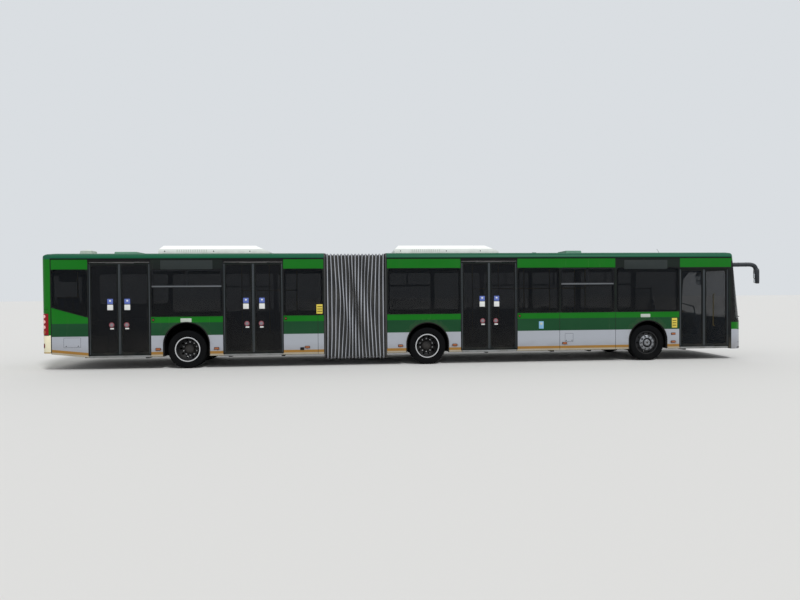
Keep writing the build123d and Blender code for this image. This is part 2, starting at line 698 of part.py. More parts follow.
# Door leaves and pillars, one of each at both jambs of every doorway
doors = {
    "door_1": front_doors[0],
    "door_2": front_doors[1],
    "door_3": rear_doors[0],
    "door_4": rear_doors[1],
}
for door, (middle, width, door_top) in doors.items():
    leaf_top = door_top - LEAF_UNDER_TOP
    rail_high = leaf_top - RAIL_UNDER_TOP
    for jamb_name, jamb in JAMBS.items():
        pin = pin_x(middle, width, jamb)
        pillar = pillar_x(middle, width, jamb)
        half = leaf_length(width) / 2
        outer = LEAF_RECESS - HALF
        inner = outer + LEAF_THICK
        with BuildPart() as leaf:
            slab((pin - half, outer, LEAF_BOTTOM), (pin + half, inner, leaf_top))
            slab(
                (pin - half + LEAF_FRAME, outer + LEAF_PANE, LEAF_BOTTOM + LEAF_FRAME),
                (pin + half - LEAF_FRAME, inner, leaf_top - LEAF_FRAME),
                mode=Mode.SUBTRACT,
            )
            for low, high in (
                (LEAF_BOTTOM - ARM_GAP - ARM_THICK, LEAF_BOTTOM + ARM_THICK),
                (leaf_top - ARM_THICK, leaf_top + ARM_GAP + ARM_THICK),
            ):
                rod((pin, -TRACK_Y, low), (pin, -TRACK_Y, high), PIN_RADIUS)
            rail_x = pin - jamb * (half - LEAF_FRAME / 2)
            rail_y = inner + RAIL_STAND_OFF
            rod((rail_x, rail_y, RAIL_LOW), (rail_x, rail_y, rail_high), RAIL_RADIUS)
            for z in (RAIL_LOW + RAIL_FROM_EDGE, rail_high - RAIL_FROM_EDGE):
                rod((rail_x, inner - LEAF_PANE, z), (rail_x, rail_y, z), RAIL_RADIUS - PIN_ROOM)
        save(leaf.part, f"{door}_{jamb_name}_leaf")
        with BuildPart() as turning_pillar:
            low = FLOOR_TOP + ARM_GAP
            high = leaf_top + ARM_GAP + ARM_THICK
            rod((pillar, -TRACK_Y, low), (pillar, -TRACK_Y, high), PILLAR_RADIUS)
            rod((pillar, -TRACK_Y, FLOOR_TOP - PIN_DEPTH), (pillar, -TRACK_Y, door_top + PIN_DEPTH), PIN_RADIUS)
            for bottom in (LEAF_BOTTOM - ARM_GAP - ARM_THICK, leaf_top + ARM_GAP):
                with BuildSketch(Plane.XY.offset(bottom)):
                    with Locations(((pillar + pin) / 2, -TRACK_Y)):
                        SlotCenterToCenter(abs(pillar - pin), ARM_WIDTH)
                    with Locations((pin, -TRACK_Y)):
                        Circle(PIN_RADIUS + PIN_ROOM, mode=Mode.SUBTRACT)
                extrude(amount=ARM_THICK)
        save(turning_pillar.part, f"{door}_{jamb_name}_pillar")

# Wheels: tyres and rims are rings about their own axle line. The middle and rear axles have twins.
BEAD_WIDTH = 188
TREAD_WIDTH = 235
SHOULDER = 22
RIM_SHEET = 12
FLANGE = 14
FLANGE_RADIUS = 306
DISC_THICK = 14
FRONT_DISC_OUT = 75
HUB_RADIUS = 118
HUB_LENGTH = 150
CAP_RADIUS = 92
HAND_HOLES = 10
HAND_HOLE_RADIUS = 27
HAND_HOLE_CIRCLE = 205


def wheel_plane(x, y):
    """A plane through an axle line, whose sketch X runs across the bus and Y runs up."""
    return Plane(origin=(x, y, TYRE_RADIUS), x_dir=(0, 1, 0), z_dir=(1, 0, 0))


def ring(x, y, *outlines):
    """Rings made by turning closed outlines about the axle line."""
    with BuildSketch(wheel_plane(x, y)) as section:
        for outline in outlines:
            with BuildLine():
                Polyline(*outline, close=True)
            make_face()
    revolve(section.sketch, axis=Axis((x, y, TYRE_RADIUS), (0, 1, 0)))


def tyre_outline(offset):
    """A tyre's half section at a distance across the bus."""
    bead = BEAD_WIDTH / 2
    tread = TREAD_WIDTH / 2
    side = TYRE_WIDTH / 2
    middle = (RIM_RADIUS + TYRE_RADIUS) / 2
    outer = [
        (bead, RIM_RADIUS),
        (bead, FLANGE_RADIUS),
        (side - SHOULDER / 2, RIM_RADIUS + 2 * SHOULDER),
        (side, middle),
        (side - SHOULDER / 4, TYRE_RADIUS - 2 * SHOULDER),
        (tread, TYRE_RADIUS - SHOULDER / 4),
        (tread - SHOULDER, TYRE_RADIUS),
    ]
    mirrored = [(-y, z) for y, z in reversed(outer)]
    return [(offset + y, z) for y, z in outer + mirrored]


def barrel_outline(offset):
    """A rim's half section without its disc: the seat for the tyre and a flange at each side."""
    seat = BEAD_WIDTH / 2
    low = RIM_RADIUS - RIM_SHEET
    return [
        (offset - seat - FLANGE, low),
        (offset + seat + FLANGE, low),
        (offset + seat + FLANGE, FLANGE_RADIUS),
        (offset + seat, FLANGE_RADIUS),
        (offset + seat, RIM_RADIUS),
        (offset - seat, RIM_RADIUS),
        (offset - seat, FLANGE_RADIUS),
        (offset - seat - FLANGE, FLANGE_RADIUS),
    ]


def disc_outline(start, end):
    """A wheel's disc, from its hub bore to its rim."""
    return [(start, HUB_BORE), (end, HUB_BORE), (end, RIM_RADIUS - 1), (start, RIM_RADIUS - 1)]


def hub_outline(start, end, radius):
    """A hub or cap of one radius with the bore through it."""
    return [(start, HUB_BORE), (end, HUB_BORE), (end, radius), (start, radius)]


# axle rows are name, X, twin tyres
axles = [
    ("front", FRONT_AXLE_X, False),
    ("middle", MIDDLE_AXLE_X, True),
    ("rear", REAR_AXLE_X, True),
]
wheels = [(f"{axle}_{name}", x, s, twin) for axle, x, twin in axles for name, s in SIDES.items()]
for name, x, s, twin in wheels:
    offsets = [0, -s * TWIN_SPACING] if twin else [0]
    y = s * WHEEL_Y
    with BuildPart() as tyre:
        for offset_y in offsets:
            ring(x, y, tyre_outline(offset_y))
    save(tyre.part, f"{name}_tyre")
    with BuildPart() as rim:
        disc_middle = -s * TWIN_SPACING / 2 if twin else s * FRONT_DISC_OUT
        for offset_y in offsets:
            ring(x, y, barrel_outline(offset_y))
        ring(x, y, disc_outline(disc_middle - DISC_THICK, disc_middle + DISC_THICK))
        hub_out = disc_middle + s * HUB_LENGTH / 2
        hub_in = disc_middle - s * HUB_LENGTH / 2
        ring(x, y, hub_outline(*sorted((hub_in, hub_out)), HUB_RADIUS))
        if twin:
            joined = TWIN_SPACING / 2 - BEAD_WIDTH / 2
            ring(x, y, [
                (disc_middle - joined, RIM_RADIUS - RIM_SHEET),
                (disc_middle + joined, RIM_RADIUS - RIM_SHEET),
                (disc_middle + joined, RIM_RADIUS - 1),
                (disc_middle - joined, RIM_RADIUS - 1),
            ])
        face_y = y + disc_middle - DISC_THICK
        with BuildSketch(Plane(origin=(x, face_y, TYRE_RADIUS), x_dir=(1, 0, 0), z_dir=(0, 1, 0))):
            with PolarLocations(HAND_HOLE_CIRCLE, HAND_HOLES):
                Circle(HAND_HOLE_RADIUS)
        extrude(amount=2 * DISC_THICK, mode=Mode.SUBTRACT)
        cap_plane = Plane(origin=(x, y + hub_out, TYRE_RADIUS), z_dir=(0, s, 0))
        with BuildSketch(cap_plane):
            Circle(CAP_RADIUS)
        extrude(amount=DISC_THICK)
    save(rim.part, f"{name}_rim")

# Axles: a dropped beam under the low floor, rising inside the wheel boxes to the wheel ends
BEAM_BOTTOM = 175
BEAM_TOP = 245
BEAM_LENGTH = 130
RISER_IN = 572
RISER_OUT = 632
RISER_LENGTH = 260
RISER_TOP = 560
SPINDLE_RADIUS = HUB_BORE - BEARING_GAP
KINGPIN_RADIUS = 26
KINGPIN_REACH = 170
EYE_RADIUS = 42
EYE_HEIGHT = 60
STRUT_STAND_OFF = 50
STRUT_THICK = 46
AXLE_GAP = 5


def spindle_end(s, twin):
    """Y of a spindle's outer end, short of the hub's cap."""
    disc_middle = WHEEL_Y - TWIN_SPACING / 2 if twin else WHEEL_Y + FRONT_DISC_OUT
    return s * (disc_middle + HUB_LENGTH / 2 - AXLE_GAP)


def twin_axle(x):
    """A fixed beam with a spindle for each pair of wheels."""
    with BuildPart() as axle:
        slab((x - BEAM_LENGTH / 2, -RISER_OUT, BEAM_BOTTOM), (x + BEAM_LENGTH / 2, RISER_OUT, BEAM_TOP))
        for s in SIDES.values():
            riser = sorted((s * RISER_IN, s * RISER_OUT))
            slab((x - RISER_LENGTH / 2, riser[0], BEAM_BOTTOM), (x + RISER_LENGTH / 2, riser[1], RISER_TOP))
            rod((x, s * RISER_IN, TYRE_RADIUS), (x, spindle_end(s, True), TYRE_RADIUS), SPINDLE_RADIUS)
    return axle.part


save(twin_axle(MIDDLE_AXLE_X), "middle_axle")
with BuildPart() as drive_axle:
    add(twin_axle(REAR_AXLE_X))
    with BuildSketch(Plane.XY.offset(BEAM_BOTTOM)):
        with Locations((REAR_AXLE_X, TOWER_IN)):
            Circle(BEAM_LENGTH)
    extrude(amount=BEAM_TOP - BEAM_BOTTOM)
save(drive_axle.part, "drive_axle")

with BuildPart() as front_axle:
    x = FRONT_AXLE_X
    arm_half = BEAM_LENGTH / 2
    strut_out = KINGPIN_Y - STRUT_STAND_OFF
    top_eye = TYRE_RADIUS + KINGPIN_REACH
    eyes = [(BEAM_BOTTOM, BEAM_TOP), (top_eye, top_eye + EYE_HEIGHT)]
    slab((x - arm_half, -strut_out, BEAM_BOTTOM), (x + arm_half, strut_out, BEAM_TOP))
    for s in SIDES.values():
        strut = sorted((s * (strut_out - STRUT_THICK), s * strut_out))
        slab((x - arm_half, strut[0], BEAM_BOTTOM), (x + arm_half, strut[1], top_eye + EYE_HEIGHT))
        web = sorted((s * strut_out, s * KINGPIN_Y))
        for low, high in eyes:
            rod((x, s * KINGPIN_Y, low), (x, s * KINGPIN_Y, high), EYE_RADIUS)
            slab((x - EYE_RADIUS, web[0], low), (x + EYE_RADIUS, web[1], high))
        pin_ends = ((x, s * KINGPIN_Y, BEAM_BOTTOM), (x, s * KINGPIN_Y, top_eye + EYE_HEIGHT))
        rod(*pin_ends, KINGPIN_RADIUS + PIN_ROOM, mode=Mode.SUBTRACT)
save(front_axle.part, "front_axle")

# Knuckles: a kingpin with a barrel between the axle's eyes, and the spindle that carries the wheel
for name, s in SIDES.items():
    y = s * KINGPIN_Y
    with BuildPart() as knuckle:
        rod((x, y, BEAM_BOTTOM), (x, y, top_eye + EYE_HEIGHT), KINGPIN_RADIUS)
        rod((x, y, BEAM_TOP + AXLE_GAP), (x, y, top_eye - AXLE_GAP), EYE_RADIUS - AXLE_GAP)
        rod((x, y, TYRE_RADIUS), (x, spindle_end(s, False), TYRE_RADIUS), SPINDLE_RADIUS)
    save(knuckle.part, f"{name}_knuckle")

# Joint between the sections: end frames, a bearing ring of each on the pivot, and a round floor over them
PORTAL_THICK = 40
PORTAL_HALF = 1262
PORTAL_IN = 1180
PORTAL_BOTTOM = 190
PORTAL_TOP = 2845
PORTAL_HEAD = 2640
BELLOWS_CORNER = 110
RING_RADIUS = 520
RING_BORE = 300
RING_BOTTOM = 245
RING_SPLIT = 282
RING_GAP = 5
PLATFORM_THICK = 17
PLATFORM_RADIUS = JOINT_GAP / 2 - 22
TONGUE_WIDE = 600
TONGUE_NARROW = 420


def end_portal(x):
    """The open frame on a section's end that the bellows is clamped to."""
    with BuildSketch(Plane.YZ.offset(x)) as frame:
        with Locations((0, (PORTAL_BOTTOM + PORTAL_TOP) / 2)):
            RectangleRounded(2 * PORTAL_HALF, PORTAL_TOP - PORTAL_BOTTOM, BELLOWS_CORNER)
        with Locations((0, (FLOOR_BOTTOM + PORTAL_HEAD) / 2)):
            Rectangle(2 * PORTAL_IN, PORTAL_HEAD - FLOOR_BOTTOM, mode=Mode.SUBTRACT)
    extrude(frame.sketch, amount=PORTAL_THICK)


def tongue(facing, bottom, top):
    """A tapering plate from a section's end to a bearing ring on the pivot."""
    base = PIVOT_X + facing * (JOINT_GAP / 2 - PORTAL_THICK / 2)
    with BuildSketch(Plane.XY.offset(bottom)) as plate:
        with BuildLine():
            Polyline(
                (base, TONGUE_WIDE),
                (PIVOT_X, TONGUE_NARROW),
                (PIVOT_X, -TONGUE_NARROW),
                (base, -TONGUE_WIDE),
                close=True,
            )
        make_face()
        with Locations((PIVOT_X, 0)):
            Circle(RING_RADIUS)
            Circle(RING_BORE, mode=Mode.SUBTRACT)
    extrude(plate.sketch, amount=top - bottom)


with BuildPart() as joint_front_frame:
    end_portal(FRONT_SECTION_REAR - PORTAL_THICK)
    tongue(1, RING_BOTTOM, RING_SPLIT)
save(joint_front_frame.part, "joint_front_frame")
with BuildPart() as joint_rear_frame:
    end_portal(REAR_SECTION_FRONT)
    tongue(-1, RING_SPLIT + RING_GAP, FLOOR_TOP - PLATFORM_THICK)
    with BuildSketch(Plane.XY.offset(FLOOR_TOP - PLATFORM_THICK)):
        with Locations((PIVOT_X, 0)):
            Circle(PLATFORM_RADIUS)
    extrude(amount=PLATFORM_THICK)
save(joint_rear_frame.part, "joint_rear_frame")

# Bellows: a closed tube of even pleats between the two end frames
PLEATS = 17
PLEAT_DEPTH = 50
BELLOWS_BOTTOM = 175
CLOTH = 12
bellows_start = REAR_SECTION_FRONT + PORTAL_THICK
bellows_length = JOINT_GAP - 2 * PORTAL_THICK
pleat = bellows_length / PLEATS


def tube_section(x, inset):
    """One ring of the bellows, inset from its crest."""
    height = PORTAL_TOP - BELLOWS_BOTTOM - 2 * inset
    with BuildSketch(Plane.YZ.offset(x)) as ring_face:
        with Locations((0, (BELLOWS_BOTTOM + PORTAL_TOP) / 2)):
            RectangleRounded(2 * (PORTAL_HALF - inset), height, BELLOWS_CORNER - inset)
    return ring_face.sketch


with BuildPart() as bellows:
    levels = []
    for n in range(PLEATS):
        levels.append(tube_section(bellows_start + n * pleat, PLEAT_DEPTH))
        levels.append(tube_section(bellows_start + (n + 0.5) * pleat, 0))
    levels.append(tube_section(bellows_start + bellows_length, PLEAT_DEPTH))
    loft(levels, ruled=True)
    extrude(tube_section(bellows_start, PLEAT_DEPTH + CLOTH), amount=bellows_length, mode=Mode.SUBTRACT)
save(bellows.part, "bellows")

# Mirrors: long arms from the front mask's upper corners that carry hanging housings
MIRROR_ARM_X = FRONT_END - 385
MIRROR_ARM_Y = 1120
MIRROR_ARM_Z = 2522
MIRROR_ARM_RADIUS = 46
MIRROR_Y = 1290
MIRROR_WIDTH = 230
MIRROR_THICK = 115
MIRROR_LOW = 2010
MIRROR_HIGH = 2420
MIRROR_CORNER = 40
with BuildPart() as mirrors:
    for s in SIDES.values():
        front = FRONT_END + MIRROR_REACH
        housing = (front - MIRROR_THICK / 2, s * MIRROR_Y)
        with BuildSketch(Plane.XY.offset(MIRROR_LOW)):
            with Locations(housing):
                RectangleRounded(MIRROR_THICK, MIRROR_WIDTH, MIRROR_CORNER)
        extrude(amount=MIRROR_HIGH - MIRROR_LOW)
        with BuildLine() as arm:
            FilletPolyline(
                (MIRROR_ARM_X, s * MIRROR_ARM_Y, MIRROR_ARM_Z),
                (front - 2 * MIRROR_THICK, s * (MIRROR_Y - MIRROR_WIDTH / 4), MIRROR_ARM_Z),
                (housing[0], s * MIRROR_Y, MIRROR_HIGH - MIRROR_CORNER),
                radius=MIRROR_WIDTH / 3,
            )
        with BuildSketch(Plane(origin=arm.line @ 0, z_dir=arm.line % 0)):
            Circle(MIRROR_ARM_RADIUS)
        sweep(path=arm.line)
    add(front_form(SKIN_INSET), mode=Mode.SUBTRACT)
save(mirrors.part, "mirrors")

# Seats: shells on plinths, in pairs, some on the wheel boxes, each pair with a pole to the ceiling
SEAT_WIDTH = 880
SEAT_LENGTH = 430
SEAT_HIGH = 430
CUSHION = 60
BACK_THICK = 60
BACK_HIGH = 620
PLINTH_SHARE = 0.5
POLE_RADIUS = 16
SEAT_WALL_GAP = 20


def seat_pair(x, s, base, width):
    """A pair of seats facing forward against a side wall, on a plinth, with a pole to the ceiling."""
    inner = s * (INSIDE - SEAT_WALL_GAP)
    y = sorted((inner, inner - s * width))
    back = x - SEAT_LENGTH / 2
    low = base + SEAT_HIGH - CUSHION
    slab((back, y[0], low), (back + SEAT_LENGTH, y[1], base + SEAT_HIGH))
    slab((back, y[0], low), (back + BACK_THICK, y[1], base + SEAT_HIGH + BACK_HIGH))
    plinth = SEAT_LENGTH * PLINTH_SHARE / 2
    slab((x - plinth, y[0], base), (x + plinth, y[1], base + SEAT_HIGH))
    pole = (back + BACK_THICK / 2, s * (INSIDE - SEAT_WALL_GAP - width + BACK_THICK))
    rod((*pole, base + SEAT_HIGH), (*pole, CEILING), POLE_RADIUS)


SEAT_PITCH = 750
FRONT_ROW_X = FRONT_AXLE_X - 1150
REAR_ROW_X = REAR_SECTION_FRONT - 640
BENCH_X = REAR_MASK_X + SHEET + SEAT_LENGTH / 2 + SEAT_WALL_GAP
# seat rows are X of the foremost, count, side, base height, width
front_seat_rows = [
    (FRONT_ROW_X, 5, 1, FLOOR_TOP, SEAT_WIDTH),
    (FRONT_ROW_X, 2, -1, FLOOR_TOP, SEAT_WIDTH),
]
rear_seat_rows = [
    (REAR_ROW_X, 3, 1, FLOOR_TOP, SEAT_WIDTH),
    (BENCH_X, 1, -1, PODIUM_TOP, INSIDE - SEAT_WALL_GAP),
]
for section, rows in {"front": front_seat_rows, "rear": rear_seat_rows}.items():
    with BuildPart() as seats:
        for foremost, count, s, base, width in rows:
            for n in range(count):
                seat_pair(foremost - n * SEAT_PITCH, s, base, width)
    save(seats.part, f"{section}_seats")

# Driver's place: a raised deck with a screen behind it, a seat, a dash and a steering wheel
DECK_REAR = FRONT_AXLE_X + 850
DECK_FRONT = FRONT_MASK_X + 60
DECK_IN = 180
DECK_TOP = 545
SCREEN_HIGH = 1950
SIDE_SCREEN_HIGH = 1250
SIDE_SCREEN_LENGTH = 1000
DRIVER_Y = 720
DRIVER_SEAT_X = FRONT_AXLE_X + 1330
DRIVER_SEAT_WIDTH = 480
DASH_LENGTH = 230
DASH_TOP = 1180
WHEEL_X = FRONT_AXLE_X + 1960
STEERING_WHEEL_RADIUS = 230
STEERING_WHEEL_RIM = 16
STEERING_WHEEL_Z = 1130
STEERING_WHEEL_TILT = 25
COLUMN_RADIUS = 45
with BuildPart() as driver_station:
    deck_side = INSIDE - SEAT_WALL_GAP
    slab((DECK_REAR, DECK_IN, FLOOR_TOP), (DECK_FRONT, deck_side, DECK_TOP))
    slab((DECK_REAR, DECK_IN, FLOOR_TOP), (DECK_REAR + SHEET, deck_side, SCREEN_HIGH))
    slab((DECK_REAR, DECK_IN, FLOOR_TOP), (DECK_REAR + SIDE_SCREEN_LENGTH, DECK_IN + SHEET, SIDE_SCREEN_HIGH))
    slab((DECK_FRONT - DASH_LENGTH, DECK_IN, DECK_TOP), (DECK_FRONT, deck_side, DASH_TOP))
    seat_y = (DRIVER_Y - DRIVER_SEAT_WIDTH / 2, DRIVER_Y + DRIVER_SEAT_WIDTH / 2)
    seat_rear = DRIVER_SEAT_X - SEAT_LENGTH / 2
    slab((seat_rear, seat_y[0], DECK_TOP), (seat_rear + SEAT_LENGTH, seat_y[1], DECK_TOP + SEAT_HIGH))
    slab(
        (seat_rear, seat_y[0], DECK_TOP + SEAT_HIGH),
        (seat_rear + BACK_THICK, seat_y[1], DECK_TOP + SEAT_HIGH + BACK_HIGH),
    )
    wheel_face = Plane(origin=(WHEEL_X, DRIVER_Y, STEERING_WHEEL_Z)).rotated((0, -STEERING_WHEEL_TILT, 0))
    with Locations(wheel_face.location):
        Torus(STEERING_WHEEL_RADIUS, STEERING_WHEEL_RIM)
        Box(2 * STEERING_WHEEL_RADIUS, COLUMN_RADIUS, STEERING_WHEEL_RIM)
    column_foot = (DECK_FRONT - DASH_LENGTH / 2, DRIVER_Y, DECK_TOP)
    rod(column_foot, (WHEEL_X, DRIVER_Y, STEERING_WHEEL_Z), COLUMN_RADIUS)
save(driver_station.part, "driver_station")
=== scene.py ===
import json
import math

import bmesh
import bpy
import numpy as np
from mathutils import Matrix, Vector


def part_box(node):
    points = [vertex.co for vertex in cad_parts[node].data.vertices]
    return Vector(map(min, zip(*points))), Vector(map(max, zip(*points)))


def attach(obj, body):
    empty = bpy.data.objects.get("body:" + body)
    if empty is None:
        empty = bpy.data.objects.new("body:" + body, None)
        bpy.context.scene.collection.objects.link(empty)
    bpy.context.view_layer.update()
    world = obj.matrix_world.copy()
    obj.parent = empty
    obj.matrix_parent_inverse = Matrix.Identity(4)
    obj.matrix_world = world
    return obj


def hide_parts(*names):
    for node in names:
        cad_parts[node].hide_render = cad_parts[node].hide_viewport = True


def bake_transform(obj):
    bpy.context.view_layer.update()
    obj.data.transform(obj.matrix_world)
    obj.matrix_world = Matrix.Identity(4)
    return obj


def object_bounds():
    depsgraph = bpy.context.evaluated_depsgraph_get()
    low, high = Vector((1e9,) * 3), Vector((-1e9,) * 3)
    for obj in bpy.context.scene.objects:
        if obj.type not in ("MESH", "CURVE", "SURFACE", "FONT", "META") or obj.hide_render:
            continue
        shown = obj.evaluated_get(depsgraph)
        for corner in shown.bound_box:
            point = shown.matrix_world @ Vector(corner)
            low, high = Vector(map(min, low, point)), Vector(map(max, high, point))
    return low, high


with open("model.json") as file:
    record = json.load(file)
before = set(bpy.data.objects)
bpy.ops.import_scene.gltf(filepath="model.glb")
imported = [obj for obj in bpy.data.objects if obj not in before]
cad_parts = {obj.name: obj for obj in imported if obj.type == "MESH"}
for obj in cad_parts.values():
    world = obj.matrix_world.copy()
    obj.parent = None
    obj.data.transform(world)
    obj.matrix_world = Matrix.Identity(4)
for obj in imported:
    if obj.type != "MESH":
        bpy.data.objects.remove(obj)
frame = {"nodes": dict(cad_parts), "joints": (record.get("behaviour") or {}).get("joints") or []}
cad_low, cad_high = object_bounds()
pivots = {j["name"]: Vector(j["pos_m"]) for j in frame["joints"]}

# The view: a camera at eye height on the door side, a little behind the bus's middle and turned a touch towards
# its front. Focal length is in pixels of a picture 800 wide.
EYE = (-1.6595, -15.869, 1.86)
YAW, PITCH, ROLL = (math.radians(a) for a in (-4.698, -0.813, -0.42))
FOCAL_PIXELS = 577
PICTURE_WIDTH = 800
SENSOR = 36


def shown(name, data):
    """An object of its own for a mesh, a lamp or a camera, put in the scene."""
    made = bpy.data.objects.new(name, data)
    bpy.context.scene.collection.objects.link(made)
    return made


forward = Vector((-math.sin(YAW) * math.cos(PITCH), math.cos(YAW) * math.cos(PITCH), math.sin(PITCH)))
level_right = Vector((math.cos(YAW), math.sin(YAW), 0))
level_up = level_right.cross(forward)
right = level_right * math.cos(ROLL) + level_up * math.sin(ROLL)
up = level_up * math.cos(ROLL) - level_right * math.sin(ROLL)
camera = shown("side_view", bpy.data.cameras.new("side_view"))
camera.data.sensor_width = SENSOR
camera.data.lens = FOCAL_PIXELS * SENSOR / PICTURE_WIDTH
camera.data.clip_end = 500
turned = Matrix((right, up, -forward)).transposed().to_4x4()
camera.matrix_world = Matrix.Translation(EYE) @ turned
bpy.context.scene.camera = camera
bpy.context.scene.view_settings.view_transform = "Standard"


# The ground and the light: a pale level floor under an even white sky, with one broad lamp high on the door side.
# The sky shows white to the camera and to gloss and glass, and lights the bus at a plain level.
FLOOR_REACH = 150
SKY_LEVEL = 0.62
LAMP_LEVEL = 1.75
LAMP_SOFT = 12
FLOOR_GREY = 0.7


class Finish:
    """A material being mixed: one surface, and steps that feed its colour, roughness and bump."""

    def __init__(self, name, colour, roughness, gloss=0.5, **sockets):
        self.material = bpy.data.materials.new(name)
        self.material.use_nodes = True
        self.tree = self.material.node_tree
        self.surface = self.tree.nodes["Principled BSDF"]
        self.surface.inputs["Base Color"].default_value = colour
        self.surface.inputs["Roughness"].default_value = roughness
        self.surface.inputs["Specular IOR Level"].default_value = gloss
        for socket, value in sockets.items():
            self.surface.inputs[socket.replace("_", " ")].default_value = value

    def feed(self, value, socket):
        """Wire a step's output into a socket, or set the socket to a plain value."""
        if isinstance(value, bpy.types.NodeSocket):
            self.tree.links.new(value, socket)
        else:
            socket.default_value = value

    def step(self, kind, inputs, output=0, **settings):
        """One shader node with its settings and its inputs by place or name; gives one of its outputs."""
        made = self.tree.nodes.new("ShaderNode" + kind)
        for setting, value in settings.items():
            setattr(made, setting, value)
        for place, value in inputs.items():
            self.feed(value, made.inputs[place])
        return made.outputs[output]

    def place(self):
        """Where a point lies in the object's own coordinates."""
        return self.step("TexCoord", {}, "Object")

    def along(self, axis):
        """The object coordinate along X, Y or Z."""
        return self.step("SeparateXYZ", {0: self.place()}, axis)

    def sum(self, operation, first, second=0.0):
        """One piece of arithmetic."""
        return self.step("Math", {0: first, 1: second, 2: 0.0}, operation=operation)

    def add(self, first, second):
        """The two together."""
        return self.sum("ADD", first, second)

    def less(self, first, second):
        """The first without the second."""
        return self.sum("SUBTRACT", first, second)

    def times(self, first, second):
        """The first times the second."""
        return self.sum("MULTIPLY", first, second)

    def most(self, first, second):
        """The greater of the two."""
        return self.sum("MAXIMUM", first, second)

    def rise(self, value, start, end, low=0.0, high=1.0):
        """From low to high as a value goes from start to end, and level outside."""
        return self.step("MapRange", {0: value, 1: start, 2: end, 3: low, 4: high})

    def above(self, value, edge, soft=0.001):
        """Nought below an edge and one above it."""
        return self.rise(value, edge - soft, edge + soft)

    def below(self, value, edge, soft=0.001):
        """One below an edge and nought above it."""
        return self.rise(value, edge - soft, edge + soft, 1.0, 0.0)

    def between(self, value, start, end, soft=0.002):
        """One where a value lies between start and end, and nought elsewhere, with a soft edge."""
        return self.times(self.above(value, start, soft), self.below(value, end, soft))

    def cloud(self, scale, detail=3.0, stretch=(1, 1, 1)):
        """A soft random pattern from 0 to 1, drawn out along an axis where its stretch is small."""
        place = self.step("Mapping", {0: self.place(), 3: stretch})
        return self.step("TexNoise", {"Vector": place, "Scale": scale, "Detail": detail})

    def cells(self, stretch, randomness=0.0):
        """How far a point lies from the nearest of many spots. stretch is how many there are to the metre."""
        place = self.step("Mapping", {0: self.place(), 3: stretch})
        return self.step("TexVoronoi", {"Vector": place, "Scale": 1.0, "Randomness": randomness})

    def mix(self, share, first, second):
        """The first colour where the share is 0 and the second where it is 1."""
        return self.step("Mix", {0: share, 6: first, 7: second}, 2, data_type="RGBA")

    def bands(self, value, levels):
        """Flat bands of colour, each from its level up to the next. levels is a list of (level, colour)."""
        made = self.tree.nodes.new("ShaderNodeValToRGB")
        ramp = made.color_ramp
        ramp.interpolation = "CONSTANT"
        reach = levels[-1][0] + 1.0
        self.feed(self.sum("DIVIDE", value, reach), made.inputs[0])
        while len(ramp.elements) < len(levels):
            ramp.elements.new(0.5)
        for element, (level, colour) in zip(ramp.elements, levels):
            element.position = level / reach
            element.color = colour
        return made.outputs[0]

    def colour(self, value):
        """The surface's colour, from a step or plain."""
        self.feed(value, self.surface.inputs["Base Color"])

    def roughness(self, value):
        """The surface's roughness, from a step or plain."""
        self.feed(value, self.surface.inputs["Roughness"])

    def dulled(self, film, more, least):
        """Roughness that grows from its least under a film of dirt."""
        self.roughness(self.add(self.times(film, more), least))

    def smeared(self, scale, detail, start, end, low, high):
        """Roughness that wanders from low to high in soft smears."""
        self.roughness(self.rise(self.cloud(scale, detail), start, end, low, high))

    def bump(self, height, depth):
        """Relief from a height of 0 to 1, with its depth in metres."""
        relief = self.step("Bump", {"Height": height, "Distance": depth, "Strength": 1.0})
        self.feed(relief, self.surface.inputs["Normal"])


def seen(red, green, blue):
    """A colour written as it looks, each part from 0 to 255, as the linear colour that a shader takes."""
    share = np.array([red, green, blue]) / 255
    linear = np.where(share <= 0.04045, share / 12.92, ((share + 0.055) / 1.055) ** 2.4)
    return (*linear.tolist(), 1.0)


def white_to_the_eye(tree, lit, eye):
    """Join two shaders: one that lights and is lit, and one that the camera, gloss and glass see."""
    path = tree.nodes.new("ShaderNodeLightPath")
    looking = path.outputs["Is Camera Ray"]
    for ray in ("Is Glossy Ray", "Is Transmission Ray"):
        either = tree.nodes.new("ShaderNodeMath")
        either.operation = "MAXIMUM"
        tree.links.new(looking, either.inputs[0])
        tree.links.new(path.outputs[ray], either.inputs[1])
        looking = either.outputs[0]
    joined = tree.nodes.new("ShaderNodeMixShader")
    for source, socket in zip((looking, lit, eye), joined.inputs):
        tree.links.new(source, socket)
    return joined.outputs[0]


world = bpy.data.worlds.new("even_sky")
world.use_nodes = True
bpy.context.scene.world = world
sky = world.node_tree.nodes["Background"]
sky.inputs["Color"].default_value = (1, 1, 1, 1)
sky.inputs["Strength"].default_value = SKY_LEVEL
backdrop = world.node_tree.nodes.new("ShaderNodeBackground")
backdrop.inputs["Color"].default_value = (0.7, 0.73, 0.76, 1)
backdrop.inputs["Strength"].default_value = 1.0
both = white_to_the_eye(world.node_tree, sky.outputs[0], backdrop.outputs[0])
world.node_tree.links.new(both, world.node_tree.nodes["World Output"].inputs[0])

floor_mesh = bpy.data.meshes.new("pale_floor")
floor_corners = [(-1, -1), (1, -1), (1, 1), (-1, 1)]
floor_mesh.from_pydata([(x * FLOOR_REACH, y * FLOOR_REACH, 0) for x, y in floor_corners], [], [(0, 1, 2, 3)])
floor = shown("pale_floor", floor_mesh)
floor_finish = Finish("pale_floor", (FLOOR_GREY, FLOOR_GREY, FLOOR_GREY * 0.985, 1), 0.9)
floor.data.materials.append(floor_finish.material)

